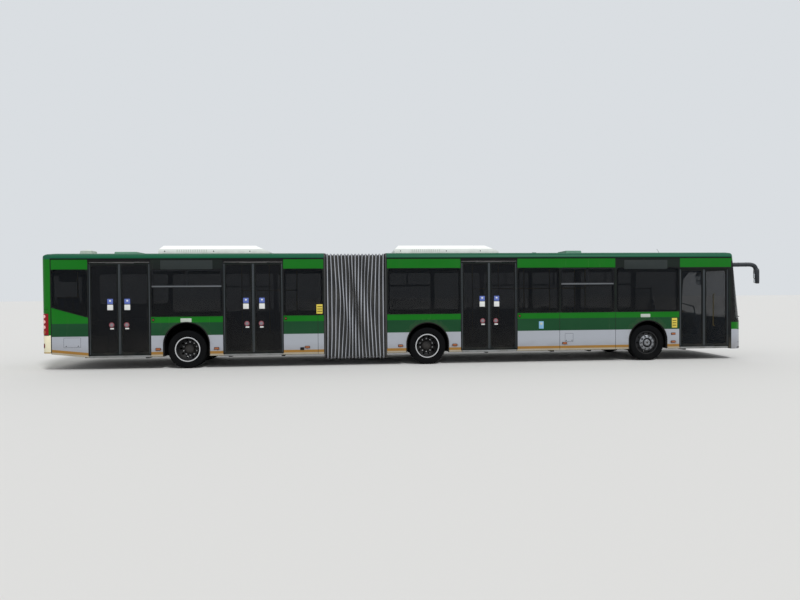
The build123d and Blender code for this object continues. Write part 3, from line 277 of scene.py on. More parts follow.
lamp = shown("broad_lamp", bpy.data.lights.new("broad_lamp", "SUN"))
lamp.data.energy = LAMP_LEVEL
lamp.data.angle = math.radians(LAMP_SOFT)
lamp.rotation_euler = Vector((0.35, -0.75, 1.0)).to_track_quat("Z", "Y").to_euler()


# Side walls: welded steel frames skinned with bonded aluminium sheet, sprayed in green over a silver skirt, the green
# below TONE_LINE drawn darker as painted shade.
# The posts between the panes are black. Grime gathers along the lower edge and round the wheel arches.
SKIN = -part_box("front_wall_right")[0].y
FRONT_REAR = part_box("front_roof")[0].x
FRONT_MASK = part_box("front_roof")[1].x
REAR_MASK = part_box("rear_roof")[0].x
REAR_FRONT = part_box("rear_roof")[1].x
FRONT_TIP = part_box("front_mask")[1].x
REAR_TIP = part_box("rear_mask")[0].x
WALL_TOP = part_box("front_wall_right")[1].z
SKIRT_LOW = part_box("front_wall_right")[0].z
FRONT_AXLE = pivots["right_steering"].x
MIDDLE_AXLE = pivots["middle_right_wheel_spin"].x
REAR_AXLE = pivots["rear_right_wheel_spin"].x
AXLE_HIGH = pivots["right_steering"].z
SKIRT_TOP = 0.827
TONE_LINE = 1.135
SILL = 1.288
GLASS_TOP = 2.458
HIGH_SILL_RISE = 0.245
DRIVER_SILL_DROP = -0.198
DRIVER_WINDOW = FRONT_AXLE + 0.86
ENGINE_BAY = REAR_AXLE - 1.13
SKIRT_RISE_START = REAR_AXLE - 2.325
SKIRT_RISE = 0.09
DOOR_4_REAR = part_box("door_4_rear_leaf")[0].x - 0.008
DOOR_4_POST = DOOR_4_REAR - 0.03
BRIGHT_GREEN = seen(6, 104, 14)
# painted shade: the same green paint, drawn darker for the lower band
SHADED_GREEN = seen(14, 64, 34)
SILVER = seen(162, 166, 175)
OCHRE = seen(160, 116, 48)
EDGE_GREY = seen(176, 168, 150)
BLACK_BAND = seen(14, 16, 18)
GRIME = seen(96, 84, 68)
MARKER_X = [REAR_AXLE - 0.68, REAR_AXLE + 0.725, REAR_FRONT - 0.42, FRONT_REAR + 0.34, MIDDLE_AXLE + 0.697,
            FRONT_AXLE - 2.258, FRONT_AXLE + 0.69]
MARKER_Z = 0.493


def dressed(node, finish):
    """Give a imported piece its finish."""
    mesh = frame["nodes"][node].data
    mesh.materials.clear()
    mesh.materials.append(finish.material)
    mesh.polygons.foreach_set("material_index", np.zeros(len(mesh.polygons), np.int32))


def lined(finish, colour):
    """A side wall's colour with the lining on its inner face and black edges round its openings."""
    depth = finish.sum("ABSOLUTE", finish.along("Y"))
    colour = finish.mix(finish.rise(depth, SKIN - 0.006, SKIN - 0.004, 1.0, 0.0), colour, seen(20, 22, 24))
    return finish.mix(finish.rise(depth, SKIN - 0.058, SKIN - 0.056, 1.0, 0.0), colour, seen(128, 132, 134))


def arch_shadow(finish, axles, half_width):
    """How near a point is to the edge of a wheel arch, from 0 away from it to 1 at it."""
    near = 0.0
    for axle in axles:
        across = finish.less(finish.along("X"), axle)
        upward = finish.less(finish.along("Z"), AXLE_HIGH + 0.05)
        square = finish.add(finish.sum("POWER", across, 2), finish.sum("POWER", upward, 2))
        distance = finish.sum("SQRT", square)
        near = finish.most(near, finish.rise(distance, half_width, half_width + 0.16, 1.0, 0.0))
    return near


def rust_runs(finish, base, places):
    """Brown stains round the marker lamps, running a little down the skirt."""
    stain = 0.0
    for place in places:
        across = finish.sum("DIVIDE", finish.less(finish.along("X"), place), 0.1)
        upward = finish.sum("DIVIDE", finish.less(finish.along("Z"), MARKER_Z - 0.015), 0.05)
        reach = finish.add(finish.sum("POWER", across, 2), finish.sum("POWER", upward, 2))
        stain = finish.most(stain, finish.rise(reach, 0.3, 1.2, 1.0, 0.0))
    ragged = finish.times(stain, finish.rise(finish.cloud(24, 4), 0.35, 0.6))
    return finish.mix(finish.times(ragged, 0.7), base, seen(112, 72, 34))


def wall_paint(name, axles, arch, sill_steps, skirt_rise, markers, headers, posts):
    """Green over a silver skirt with a black window band; below TONE_LINE the green is drawn darker as painted shade.

    sill_steps rows are from X, to X, change of the sill's level. headers rows are from X, to X of black up to the
    roof. posts rows are from X, to X of black from the window band down.
    """
    paint = Finish(name, BRIGHT_GREEN, 0.3, Coat_Weight=0.06, Coat_Roughness=0.1, gloss=0.14)
    level = paint.along("Z")
    sill = SILL
    for start, end, change in sill_steps:
        sill = paint.add(sill, paint.rise(paint.along("X"), start, end, 0.0, change))
    foot = level
    if skirt_rise:
        start, end, change = skirt_rise
        foot = paint.less(level, paint.rise(paint.along("X"), start, end, 0.0, change))
    # painted shade: below TONE_LINE the wall takes the darker green
    upper = paint.bands(level, [(0, SHADED_GREEN), (TONE_LINE, BRIGHT_GREEN)])
    under = paint.above(paint.less(level, sill), 0)
    band = paint.times(under, paint.below(level, GLASS_TOP))
    for start, end in headers:
        over = paint.times(under, paint.between(paint.along("X"), start, end))
        band = paint.most(band, over)
    upper = paint.mix(band, upper, BLACK_BAND)
    lower = paint.bands(foot, [(0, EDGE_GREY), (SKIRT_LOW + 0.048, OCHRE), (SKIRT_LOW + 0.112, SILVER)])
    colour = paint.mix(paint.above(level, SKIRT_TOP), lower, upper)
    for start, end in posts:
        post = paint.times(paint.between(paint.along("X"), start, end), paint.below(level, GLASS_TOP))
        colour = paint.mix(post, colour, BLACK_BAND)
    faded = paint.rise(paint.cloud(1.3, 5, (0.5, 1, 1.6)), 0.35, 0.8, 0.0, 0.06)
    colour = paint.mix(faded, colour, seen(86, 132, 98))
    low_film = paint.times(paint.rise(foot, SKIRT_LOW, 0.62, 0.75, 0.0), paint.cloud(7, 6, (0.35, 1, 1)))
    shadow = arch_shadow(paint, axles, arch)
    film = paint.most(low_film, paint.times(shadow, paint.rise(paint.cloud(12, 5), 0.3, 0.8, 0.0, 0.35)))
    streaks = paint.rise(paint.cloud(3, 5, (3, 3, 0.25)), 0.55, 0.85, 0.0, 0.07)
    film = paint.most(film, streaks)
    colour = rust_runs(paint, paint.mix(paint.times(film, 0.8), colour, GRIME), markers)
    paint.colour(lined(paint, colour))
    paint.dulled(film, 0.5, 0.26)
    paint.bump(paint.cloud(1.6, 2, (1, 1, 0.6)), 0.004)
    return paint


TAIL_RISE = (SKIRT_RISE_START, REAR_MASK, SKIRT_RISE)
front_lamps = [x for x in MARKER_X if x > FRONT_REAR]
rear_lamps = [x for x in MARKER_X if x < REAR_FRONT]
front_arches, rear_arches = ([FRONT_AXLE, MIDDLE_AXLE], 0.53), ([REAR_AXLE], 0.56)
# wall rows are name, arches and their reach, steps in the sill, rise of the skirt, lamps, headers, posts
for name, arches, sill_steps, skirt_rise, wall_lamps, headers, posts in (
    ("front_right", front_arches, [], None, front_lamps, [(FRONT_AXLE - 0.886, FRONT_AXLE + 0.88)],
     [(FRONT_MASK - 0.09, FRONT_MASK + 0.01)]),
    ("front_left", front_arches, [(DRIVER_WINDOW, DRIVER_WINDOW + 0.001, DRIVER_SILL_DROP)], None,
     front_lamps, [], []),
    ("rear_right", rear_arches, [(DOOR_4_POST, REAR_MASK, HIGH_SILL_RISE)], TAIL_RISE, rear_lamps,
     [(REAR_AXLE - 0.865, REAR_AXLE + 0.905)], []),
    ("rear_left", rear_arches, [(ENGINE_BAY, ENGINE_BAY - 0.001, HIGH_SILL_RISE)], TAIL_RISE, rear_lamps, [], []),
):
    paint = wall_paint(name + "_paint", *arches, sill_steps, skirt_rise, wall_lamps, headers, posts)
    dressed(name.replace("_", "_wall_"), paint)


# Roofs: glass-fibre skins in the same green, dulled by dust and rain, with the hatches moulded in. Towards the crown
# the green turns lighter, partly dust and partly painted light where the cove turns up to the sky.
ROOF_HIGH = 2.86
ROOF_GREEN = seen(14, 84, 58)
ROOF_DUST_AND_LIGHT = seen(70, 106, 90)
HATCH_PALE = seen(196, 206, 196)
HATCH_GREEN = seen(120, 164, 142)
FRONT_HATCH = FRONT_AXLE - 1.64
REAR_HATCH = REAR_AXLE - 1.76
TAIL_HATCH = REAR_AXLE - 2.845
# hatch rows are X, half length, half width, colour
HATCH_TOPS = [(FRONT_HATCH, 0.25, 0.36, HATCH_GREEN), (TAIL_HATCH, 0.175, 0.215, HATCH_PALE),
              (REAR_HATCH, 0.305, 0.41, HATCH_GREEN)]
roof = Finish("roof_paint", ROOF_GREEN, 0.45, gloss=0.12)
roof_clouds = roof.cloud(2.2, 6, (0.6, 1, 1))
# partly painted light: lighter towards the crown, where the cove faces the sky, mixed with dust
roof_dust_and_light = roof.times(roof_clouds, roof.rise(roof.along("Z"), ROOF_HIGH - 0.12, ROOF_HIGH))
roof_colour = ROOF_GREEN
roof_across = roof.sum("ABSOLUTE", roof.along("Y"))
for x, half_length, half_width, colour in HATCH_TOPS:
    lengthwise = roof.between(roof.along("X"), x - half_length, x + half_length)
    on_hatch = roof.times(lengthwise, roof.rise(roof_across, half_width, half_width + 0.002, 1.0, 0.0))
    on_hatch = roof.times(on_hatch, roof.above(roof.along("Z"), ROOF_HIGH + 0.004, 0.002))
    roof_colour = roof.mix(on_hatch, roof_colour, colour)
roof.colour(roof.mix(roof.times(roof_dust_and_light, 0.6), roof_colour, ROOF_DUST_AND_LIGHT))
roof.dulled(roof_dust_and_light, 0.4, 0.35)
roof.bump(roof.cloud(3.0, 3), 0.003)
for node in ("front_roof", "rear_roof"):
    dressed(node, roof)


# Roof units: white moulded covers over the cooling machines, gloss on top, and darker and rougher in patches round
# the foot.
COVER_WHITE = seen(248, 251, 249)
cover = Finish("roof_cover", COVER_WHITE, 0.35)
# darker and rougher in patches towards the foot, where the unit meets the roof
foot_darkening = cover.rise(cover.along("Z"), ROOF_HIGH, ROOF_HIGH + 0.12, 0.7, 0.08)
cover_darkening = cover.times(foot_darkening, cover.cloud(4, 6))
cover.colour(cover.mix(cover_darkening, COVER_WHITE, seen(120, 122, 116)))
cover.dulled(cover_darkening, 0.4, 0.3)
cover.bump(cover.cloud(60, 3), 0.0004)
for node in ("front_roof_unit", "rear_roof_unit"):
    dressed(node, cover)


# Window glass: dark tinted panes bonded flush with the skin, so only a thin line of adhesive shows round each.
GLASS_TINT = seen(4, 7, 12)
pane = Finish("tinted_pane", GLASS_TINT, 0.04, Alpha=0.66, gloss=0.12)
pane_foot = (1.2, 1.7, 0.12, 0.03)
pane_dust = pane.times(pane.cloud(2.5, 6), pane.rise(pane.along("Z"), *pane_foot))
pane.colour(pane.mix(pane_dust, GLASS_TINT, seen(88, 88, 84)))
pane.dulled(pane_dust, 0.5, 0.03)
for node in ("front_glass", "rear_glass"):
    dressed(node, pane)
screen = Finish("windscreen", seen(16, 24, 22), 0.03, Alpha=0.48, gloss=0.3)
screen.smeared(2, 5, 0.4, 0.9, 0.02, 0.1)
glass_mesh = frame["nodes"]["front_glass"].data
glass_mesh.materials.append(screen.material)
face_middles = np.zeros(len(glass_mesh.polygons) * 3, np.float32)
glass_mesh.polygons.foreach_get("center", face_middles)
glass_mesh.polygons.foreach_set("material_index", (face_middles.reshape(-1, 3)[:, 0] > FRONT_MASK).astype(np.int32))


# End masks: moulded glass-fibre shells, green above a silver bumper, black round the windscreen.
BUMPER_TOP = 0.8
BELT_TOP = 0.985
SCREEN_TOP = 2.6


def mask_paint(name, levels, grime_top, middle):
    """A shell painted in level bands, with grime low down and a dark lining where it faces its middle."""
    paint = Finish(name, BRIGHT_GREEN, 0.3, Coat_Weight=0.06, Coat_Roughness=0.1, gloss=0.14)
    level = paint.along("Z")
    colour = paint.bands(level, levels)
    colour = paint.mix(paint.above(level, WALL_TOP, 0.002), colour, ROOF_GREEN)
    film = paint.times(paint.rise(level, 0.3, grime_top, 0.7, 0.06), paint.cloud(8, 6, (1, 1, 0.4)))
    outward = paint.step("VectorMath", {0: paint.place(), 1: (middle, 0, 1.5)}, operation="SUBTRACT")
    outward = paint.step("VectorMath", {0: outward, 1: (1, 1, 0)}, operation="MULTIPLY")
    normal = paint.step("TexCoord", {}, "Normal")
    facing = paint.step("VectorMath", {0: normal, 1: outward}, "Value", operation="DOT_PRODUCT")
    colour = paint.mix(film, colour, GRIME)
    paint.colour(paint.mix(paint.rise(facing, -0.12, -0.1, 1.0, 0.0), colour, seen(60, 63, 66)))
    paint.dulled(film, 0.5, 0.26)
    paint.bump(paint.cloud(2.0, 2), 0.003)
    return paint


front_bands = [(0, SILVER), (BUMPER_TOP, BRIGHT_GREEN), (BELT_TOP, BLACK_BAND), (SCREEN_TOP + 0.02, BRIGHT_GREEN)]
rear_bands = [(0, seen(190, 160, 96)), (0.452, seen(240, 234, 204)), (0.858, BRIGHT_GREEN)]
dressed("front_mask", mask_paint("front_mask_paint", front_bands, 0.7, FRONT_MASK - 0.6))
rear_mask_paint = mask_paint("rear_mask_paint", rear_bands, 0.8, REAR_MASK + 0.6)
for node in ("rear_mask", "engine_flap"):
    dressed(node, rear_mask_paint)


# Gutters, sealant joints, sills and marker lamps: black rubber and sealant in the skin's joints, a black drip rail
# along the roof's edge, bare aluminium nosings in the doorways and small orange lamps in rubber rings. The drip rail
# is drawn black and as tall as the band under the roof's edge where its overhang casts a shadow, so it is partly
# painted shadow.
DOOR_WIDE = 1.44
DOOR_1_WIDE = 1.34
DOOR_HIGH = 2.64
DOOR_1_HIGH = 2.451
DOORS = {
    "door_1": (FRONT_AXLE + 1.55, DOOR_1_WIDE, DOOR_1_HIGH),
    "door_2": (MIDDLE_AXLE + 1.599, DOOR_WIDE, DOOR_HIGH),
    "door_3": (REAR_AXLE + 1.625, DOOR_WIDE, DOOR_HIGH),
    "door_4": (REAR_AXLE - 1.585, DOOR_WIDE, DOOR_HIGH),
}
PANEL_JOINT = FRONT_AXLE - 0.886
SPLIT_POST = FRONT_AXLE - 2.375
LOW_JOINT = FRONT_AXLE - 2.388
REAR_JOINT = REAR_FRONT - 0.155
POST = 0.03
FLOOR_TOP = 0.345
CORNER_STEPS = 6
CLOSED = 0.001


def rounded(half_a, half_b, corner, steps=CORNER_STEPS):
    """A rectangle with round corners as a closed line: each corner's centre plus a quarter circle."""
    quarter = np.linspace(0, np.pi / 2, steps)
    angles = np.concatenate([quarter + n * np.pi / 2 for n in range(4)])
    corners = np.repeat([[1, 1], [-1, 1], [-1, -1], [1, -1]], steps, axis=0)
    return corners * [half_a - corner, half_b - corner] + corner * np.stack((np.cos(angles), np.sin(angles)), -1)


def bend(points, radius, steps=6):
    """A line with its corners eased: at each, the curve (1-t)^2 a + 2t(1-t) b + t^2 c over its last stretch."""
    points = np.asarray(points, float)
    line = [points[:1]]
    share = np.linspace(0, 1, steps)[:, None]
    for before, corner, after in zip(points, points[1:], points[2:]):
        start = corner + (before - corner) * min(radius / np.linalg.norm(before - corner), 0.5)
        end = corner + (after - corner) * min(radius / np.linalg.norm(after - corner), 0.5)
        line.append((1 - share) ** 2 * start + 2 * share * (1 - share) * corner + share**2 * end)
    line.append(points[-1:])
    return np.concatenate(line)


def finely(line, count):
    """A closed line with its points spread evenly along it, so that it follows a curved face."""
    loop = np.concatenate((line, line[:1]))
    along = np.concatenate(([0], np.cumsum(np.linalg.norm(np.diff(loop, axis=0), axis=1))))
    spots = np.linspace(0, along[-1], count, endpoint=False)
    return np.stack((np.interp(spots, along, loop[:, 0]), np.interp(spots, along, loop[:, 1])), -1)


def unit(vectors):
    """Vectors made one long."""
    vectors = np.asarray(vectors, float)
    return vectors / np.linalg.norm(vectors, axis=-1, keepdims=True)


class Form:
    """Surfaces gathered into one piece. A face's shade is the number of its finish in the piece's list."""

    def __init__(self):
        self.points = []
        self.faces = []
        self.shades = []
        self.count = 0

    def skin(self, rings, shade=0, looped=False, capped=True):
        """Faces between rings of points, each closed on itself. Looped joins the last ring to the first."""
        rings = np.asarray(rings, float)
        rows, places = rings.shape[:2]
        row = np.arange(rows if looped else rows - 1)[:, None] * places
        above = (row + places) % (rows * places)
        place = np.arange(places)[None, :]
        beside = (place + 1) % places
        quads = np.stack((row + place, row + beside, above + beside, above + place), -1).reshape(-1, 4)
        faces = (quads + self.count).tolist()
        if capped and not looped:
            faces.append((np.arange(places)[::-1] + self.count).tolist())
            faces.append((np.arange(places) + self.count + (rows - 1) * places).tolist())
        self.points.append(rings.reshape(-1, 3))
        self.faces += faces
        self.shades += [shade] * len(faces)
        self.count += rows * places

    def sheet(self, grid, thick, shade=0):
        """A thick sheet over a grid of points, with thick as its second face's offset in X, Y and Z."""
        rows, columns = grid.shape[:2]
        rim = np.concatenate((
            np.stack((np.zeros(columns, int), np.arange(columns)), -1),
            np.stack((np.arange(1, rows), np.full(rows - 1, columns - 1)), -1),
            np.stack((np.full(columns - 1, rows - 1), np.arange(columns - 1)[::-1]), -1),
            np.stack((np.arange(1, rows - 1)[::-1], np.zeros(rows - 2, int)), -1),
        ))
        flat = np.arange(rows * columns).reshape(rows, columns)
        front = np.stack((flat[:-1, :-1], flat[:-1, 1:], flat[1:, 1:], flat[1:, :-1]), -1).reshape(-1, 4)
        edge = flat[rim[:, 0], rim[:, 1]]
        onward = np.roll(edge, -1)
        back = rows * columns
        sides = np.stack((onward, edge, edge + back, onward + back), -1)
        faces = np.concatenate((front, front[:, ::-1] + back, sides))
        self.points.append(np.concatenate((grid.reshape(-1, 3), (grid + thick).reshape(-1, 3))))
        self.faces += (faces + self.count).tolist()
        self.shades += [shade] * len(faces)
        self.count += 2 * back

    def box(self, low, high, edge=0.002, shade=0):
        """A bar with eased edges between two corners: its outline at four levels, drawn in at both ends."""
        low, high = np.minimum(low, high).astype(float), np.maximum(low, high).astype(float)
        middle, half = (low + high) / 2, (high - low) / 2
        edge = min(edge, *(half * 0.6))
        rings = []
        for inset, level in ((edge, low[2]), (0, low[2] + edge), (0, high[2] - edge), (edge, high[2])):
            line = rounded(half[0] - inset, half[1] - inset, edge * 0.99, 3) + middle[:2]
            rings.append(np.column_stack((line, np.full(len(line), level))))
        self.skin(rings, shade)

    def plate(self, on, centre, half, corner, low, high, edge=0.002, shade=0):
        """A plate on a face: its rounded outline from a low to a high level, drawn in over a rounded edge."""
        rings = []
        for inset, level in ((0, low), (0, high - edge), (0.3 * edge, high - 0.3 * edge), (edge, high)):
            line = rounded(half[0] - inset, half[1] - inset, max(corner - inset, 0.0005)) + centre
            rings.append(on(line[:, 0], line[:, 1], level))
        self.skin(rings, shade)

    def frame(self, on, outline, base, section, shade=0):
        """A section carried round an outline, with both feet at a base level.

        outline is a function of how far the line is drawn in and of its corners. section rows are inset, corner
        radius where the outline takes one, level.
        """
        feet = [(*row[:-1], base) for row in (section[0], section[-1])]
        rings = []
        for *shape, level in [feet[0], *section] + [feet[1]] * (section[-1] != feet[1]):
            line = outline(*shape)
            rings.append(on(line[:, 0], line[:, 1], level))
        self.skin(rings, shade, looped=True)

    def surround(self, on, centre, half, base, section, shade=0, points=0):
        """The same round a rectangle, with points spread along it where it follows a curved face."""

        def outline(inset, corner):
            line = rounded(half[0] - inset, half[1] - inset, corner) + centre
            return finely(line, points) if points else line

        self.frame(on, outline, base, section, shade)

    def bar(self, on, along, section, shade=0):
        """A section carried along a face. section rows are height, level."""
        rows = [on(along, height, level) for height, level in section]
        self.skin(np.swapaxes(np.array(rows), 0, 1), shade)

    def strip(self, on, along, height, half, level, shade=0):
        """A flat strip along a face, let a little into it."""
        low, high = height - half, height + half
        self.bar(on, along, ((low, -0.003), (low, level), (high, level), (high, -0.003)), shade)

    def pipe(self, path, radius, shade=0, sides=12):
        """A round bar along a line of points: circles square to the line, with flat ends."""
        path = np.asarray(path, float)
        along = unit(np.gradient(path, axis=0))
        flat = np.linalg.svd(path - path.mean(0))[2][2]
        across = unit(np.cross(along, flat))
        over = np.cross(along, across)
        angle = np.linspace(0, 2 * np.pi, sides, endpoint=False)[None, :, None]
        rings = path[:, None] + np.asarray(radius).reshape(-1, 1, 1) * (
            np.cos(angle) * across[:, None] + np.sin(angle) * over[:, None]
        )
        self.skin(rings, shade)

    def turned(self, profile, centre, axis, steps=64, shade=0, looped=True):
        """A profile spun round an axis. profile rows are distance along the axis, radius."""
        profile = np.asarray(profile, float)
        axis = unit(axis)
        spare = np.array([0.0, 0, 1]) if abs(axis[2]) < 0.9 else np.array([1.0, 0, 0])
        across = unit(np.cross(axis, spare))
        over = np.cross(axis, across)
        angle = np.linspace(0, 2 * np.pi, steps, endpoint=False)[None, :, None]
        spoke = np.cos(angle) * across + np.sin(angle) * over
        rings = np.asarray(centre, float) + profile[:, 0, None, None] * axis + profile[:, 1, None, None] * spoke
        self.skin(rings, shade, looped=looped)

    def copies(self, other, shifts):
        """Another form's surfaces, once at each shift."""
        points = np.concatenate(other.points)
        shifts = np.asarray(shifts, float)
        self.points.append((points[None] + shifts[:, None]).reshape(-1, 3))
        for n in range(len(shifts)):
            start = self.count + n * len(points)
            self.faces += [[corner + start for corner in face] for face in other.faces]
            self.shades += other.shades
        self.count += len(shifts) * len(points)

    def knob(self, profile, centre, axis, steps, shade=0):
        """A profile spun round an axis and closed on it at both ends."""
        ends = [(profile[0][0], CLOSED)], [(profile[-1][0], CLOSED)]
        self.turned(ends[0] + list(profile) + ends[1], centre, axis, steps, shade, looped=False)

    def made(self, name, body, slot, finishes, replaced=(), sharp=35, weld=0.0):
        """The piece itself: its mesh with outward faces, its finishes, and the body that it rides on."""
        mesh = bpy.data.meshes.new(name)
        mesh.from_pydata(np.concatenate(self.points).tolist(), [], self.faces)
        mesh.polygons.foreach_set("material_index", np.array(self.shades, np.int32))
        mesh.polygons.foreach_set("use_smooth", np.ones(len(mesh.polygons), bool))
        for finish in finishes:
            mesh.materials.append(finish.material)
        tidy = bmesh.new()
        tidy.from_mesh(mesh)
        if weld:
            bmesh.ops.remove_doubles(tidy, verts=tidy.verts, dist=weld)
        bmesh.ops.recalc_face_normals(tidy, faces=tidy.faces)
        tidy.to_mesh(mesh)
        tidy.free()
        mesh.set_sharp_from_angle(angle=math.radians(sharp))
        piece = shown(name, mesh)
        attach(piece, body)
        if replaced:
            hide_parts(*replaced)
        return piece


def worn(name, colour, roughness, dirt=(96, 90, 80), share=0.3, low=(0.2, 1.6), grain=(90, 0.0003), **sockets):
    """A finish with a fine grain and uneven dirt, most of it low down."""
    finish = Finish(name, seen(*colour), roughness, **sockets)
    height = finish.rise(finish.along("Z"), *low, 1.0, 0.25)
    patch = finish.rise(finish.cloud(5, 6), 0.3, 0.75)
    film = finish.times(finish.times(height, patch), share)
    finish.colour(finish.mix(film, seen(*colour), seen(*dirt)))
    finish.dulled(film, 0.6, roughness)
    finish.bump(finish.cloud(grain[0], 3), grain[1])
    return finish


def on_body(rows, body):
    """Those rows of a table that start with a body's name, without the name."""
    return [row[1:] for row in rows if row[0] == body]


def side_face(side):
    """A way to place points on a side's skin: X, height and how far out."""
    return lambda x, z, out: np.stack((x, side * (SKIN + out) * np.ones_like(x), z), -1)


SIDES = {-1: side_face(-1), 1: side_face(1)}
rubber = worn("black_rubber", (16, 17, 19), 0.6, share=0.2, grain=(140, 0.0004), gloss=0.1)
sealant = worn("joint_sealant", (22, 25, 24), 0.75, share=0.25, gloss=0.1)
bare_aluminium = worn("bare_aluminium", (150, 152, 152), 0.35, share=0.5, grain=(220, 0.0002), Metallic=0.85)
marker_orange = worn("marker_orange", (158, 84, 34), 0.3, share=0.35)
dark_panel = worn("dark_panel", (44, 50, 50), 0.4, share=0.12, gloss=0.12)
jamb_grey = worn("jamb_grey", (22, 26, 29), 0.5, share=0.2, gloss=0.12)
FRONT, REAR = "front_section", "rear_section"
BODY_PARTS = {FRONT: (FRONT_REAR, FRONT_MASK), REAR: (REAR_MASK, REAR_FRONT)}
DOORWAYS = [(FRONT if door[0] > FRONT_REAR else REAR, name, *door) for name, door in DOORS.items()]

for body, (rear, front) in BODY_PARTS.items():
    trim = Form()
    for side, on in SIDES.items():
        y = side * SKIN
        # partly painted shadow: the black drip rail also fills the band where the roof's overhang casts its shadow
        for foot, top, out in ((-0.012, 0.004, 0.01), (0.004, 0.016, 0.014)):
            trim.box((rear, y - side * 0.012, WALL_TOP + foot), (front, y + side * out, WALL_TOP + top), 0.003)
        joints = [(rear + 0.004, SKIRT_LOW + 0.1, WALL_TOP), (front - 0.004, SKIRT_LOW + 0.002, WALL_TOP)]
        if body == FRONT:
            joints += [(PANEL_JOINT, SKIRT_LOW + 0.01, WALL_TOP - 0.02), (LOW_JOINT, SKIRT_LOW + 0.01, SILL)]
        else:
            joints += [(REAR_JOINT, SKIRT_LOW + 0.01, SILL)]
        for x, foot, top in joints:
            trim.plate(on, (x, (foot + top) / 2), (0.0045, (top - foot) / 2), 0.002, -0.003, 0.0012, 0.001, 1)
    trim.made(body + "_gutters_and_joints", body, "dark_plastic", [rubber, sealant])

for body, places in ((FRONT, front_lamps), (REAR, rear_lamps)):
    lamps = Form()
    for x in places:
        for side, on in SIDES.items():
            lamps.plate(on, (x, MARKER_Z), (0.062, 0.03), 0.012, -0.004, 0.008, 0.004, 1)
            lamps.plate(on, (x, MARKER_Z), (0.052, 0.021), 0.009, 0.002, 0.017, 0.006)
    lamps.made(body + "_marker_lamps", body, "lamp_red", [marker_orange, rubber])

# header rows are body, from X, to X, from height, to height, shade
HEADERS = [
    (FRONT, DOORS["door_1"][0] - 0.7, DOORS["door_1"][0] + 0.7, 2.405, 2.452, 0),
    (FRONT, DOORS["door_1"][0] - 2.2, DOORS["door_1"][0] - 1.02, 2.414, 2.647, 1),
    (REAR, DOORS["door_4"][0] + 0.98, DOORS["door_3"][0] - 0.98, 2.45, 2.674, 1),
]
for body in BODY_PARTS:
    panels = Form()
    on = SIDES[-1]
    for rear, front, foot, top, shade in on_body(HEADERS, body):
        half = ((front - rear) / 2, (top - foot) / 2)
        panels.plate(on, ((rear + front) / 2, (foot + top) / 2), half, 0.012, -0.004, 0.006, 0.003, shade)
    for name, x, wide, top in on_body(DOORWAYS, body):
        if name != "door_1":
            over = (wide / 2 + 0.024, (WALL_TOP - top) / 2)
            panels.plate(on, (x, (top + WALL_TOP) / 2), over, 0.006, -0.004, 0.004, 0.002)
    for name, x, wide, top in on_body(DOORWAYS, body):
        panels.box((x - wide / 2 + 0.004, -SKIN + 0.002, 0.3),
                   (x + wide / 2 - 0.004, -SKIN + 0.06, FLOOR_TOP + 0.003), 0.004, 2)
        for jamb in (-1, 1):
            edge = x + jamb * wide / 2
            panels.box((edge - jamb * 0.002, -SKIN - 0.003, FLOOR_TOP),
                       (edge + jamb * 0.022, -SKIN + 0.03, top), 0.003, 3)
    panels.made(body + "_door_surrounds", body, "aluminium", [rubber, dark_panel, bare_aluminium, jamb_grey])


# Window seals and tilting tops: a black bead of adhesive round each pane, and on some bays a dark aluminium frame
# across the top that tilts inwards for air, with a rail under it and a post between its two halves. On the door side
# the rail is painted light grey as a painted highlight; on the other side it has the frames' dark grey.
RING_ROOM = 0.0035
PANE_CORNER = 0.06
HOPPER_LOW = 2.045
LEFT_BAY = (SPLIT_POST - FRONT_REAR - 0.015) / 3
REAR_BAY = (REAR_FRONT - POST - ENGINE_BAY) / 3
# pane rows are body, side, rear X, front X, sill, tilting top or not
PANES = [
    (FRONT, -1, FRONT_REAR + POST, DOORS["door_2"][0] - 0.75, SILL, False),
    (FRONT, -1, DOORS["door_2"][0] + 0.75, SPLIT_POST - 0.015, SILL, False),
    (FRONT, -1, SPLIT_POST + 0.015, PANEL_JOINT - POST, SILL, True),
    (FRONT, -1, PANEL_JOINT + POST, DOORS["door_1"][0] - 0.7, SILL, False),
    (FRONT, 1, SPLIT_POST + 0.015, PANEL_JOINT - POST, SILL, True),
    (FRONT, 1, PANEL_JOINT + POST, DRIVER_WINDOW - POST, SILL, True),
    (FRONT, 1, DRIVER_WINDOW + POST, FRONT_MASK - POST, SILL + DRIVER_SILL_DROP, False),
    (REAR, -1, DOORS["door_4"][0] + 0.75, DOORS["door_3"][0] - 0.75, SILL, True),
    (REAR, -1, DOORS["door_3"][0] + 0.75, REAR_FRONT - POST, SILL, False),
    (REAR, 1, REAR_MASK + 0.045, ENGINE_BAY - 0.015, SILL + HIGH_SILL_RISE, False),
]
for n in range(3):
    start = FRONT_REAR + 0.015 + n * LEFT_BAY
    PANES.append((FRONT, 1, start + 0.015, start + LEFT_BAY - 0.015, SILL, n != 1))
    start = ENGINE_BAY + n * REAR_BAY
    PANES.append((REAR, 1, start + 0.015, start + REAR_BAY - 0.015, SILL, n == 1))
# section rows are inset, corner radius, level
BEAD = [(-RING_ROOM, PANE_CORNER, 0.0006), (0.003, PANE_CORNER - 0.004, 0.001),
        (0.01, PANE_CORNER - 0.01, -0.0012), (0.012, PANE_CORNER - 0.012, -0.006)]
HOPPER_FRAME = [(0, 0.03, 0.0015), (0.003, 0.028, 0.003), (0.019, 0.018, 0.003), (0.023, 0.015, 0.0005)]
hopper_grey = worn("hopper_grey", (22, 25, 29), 0.5, share=0.12, grain=(260, 0.0002), gloss=0.12)
hopper_rail = worn("hopper_rail", (104, 108, 112), 0.4, share=0.2, grain=(260, 0.0002), Metallic=0.5)


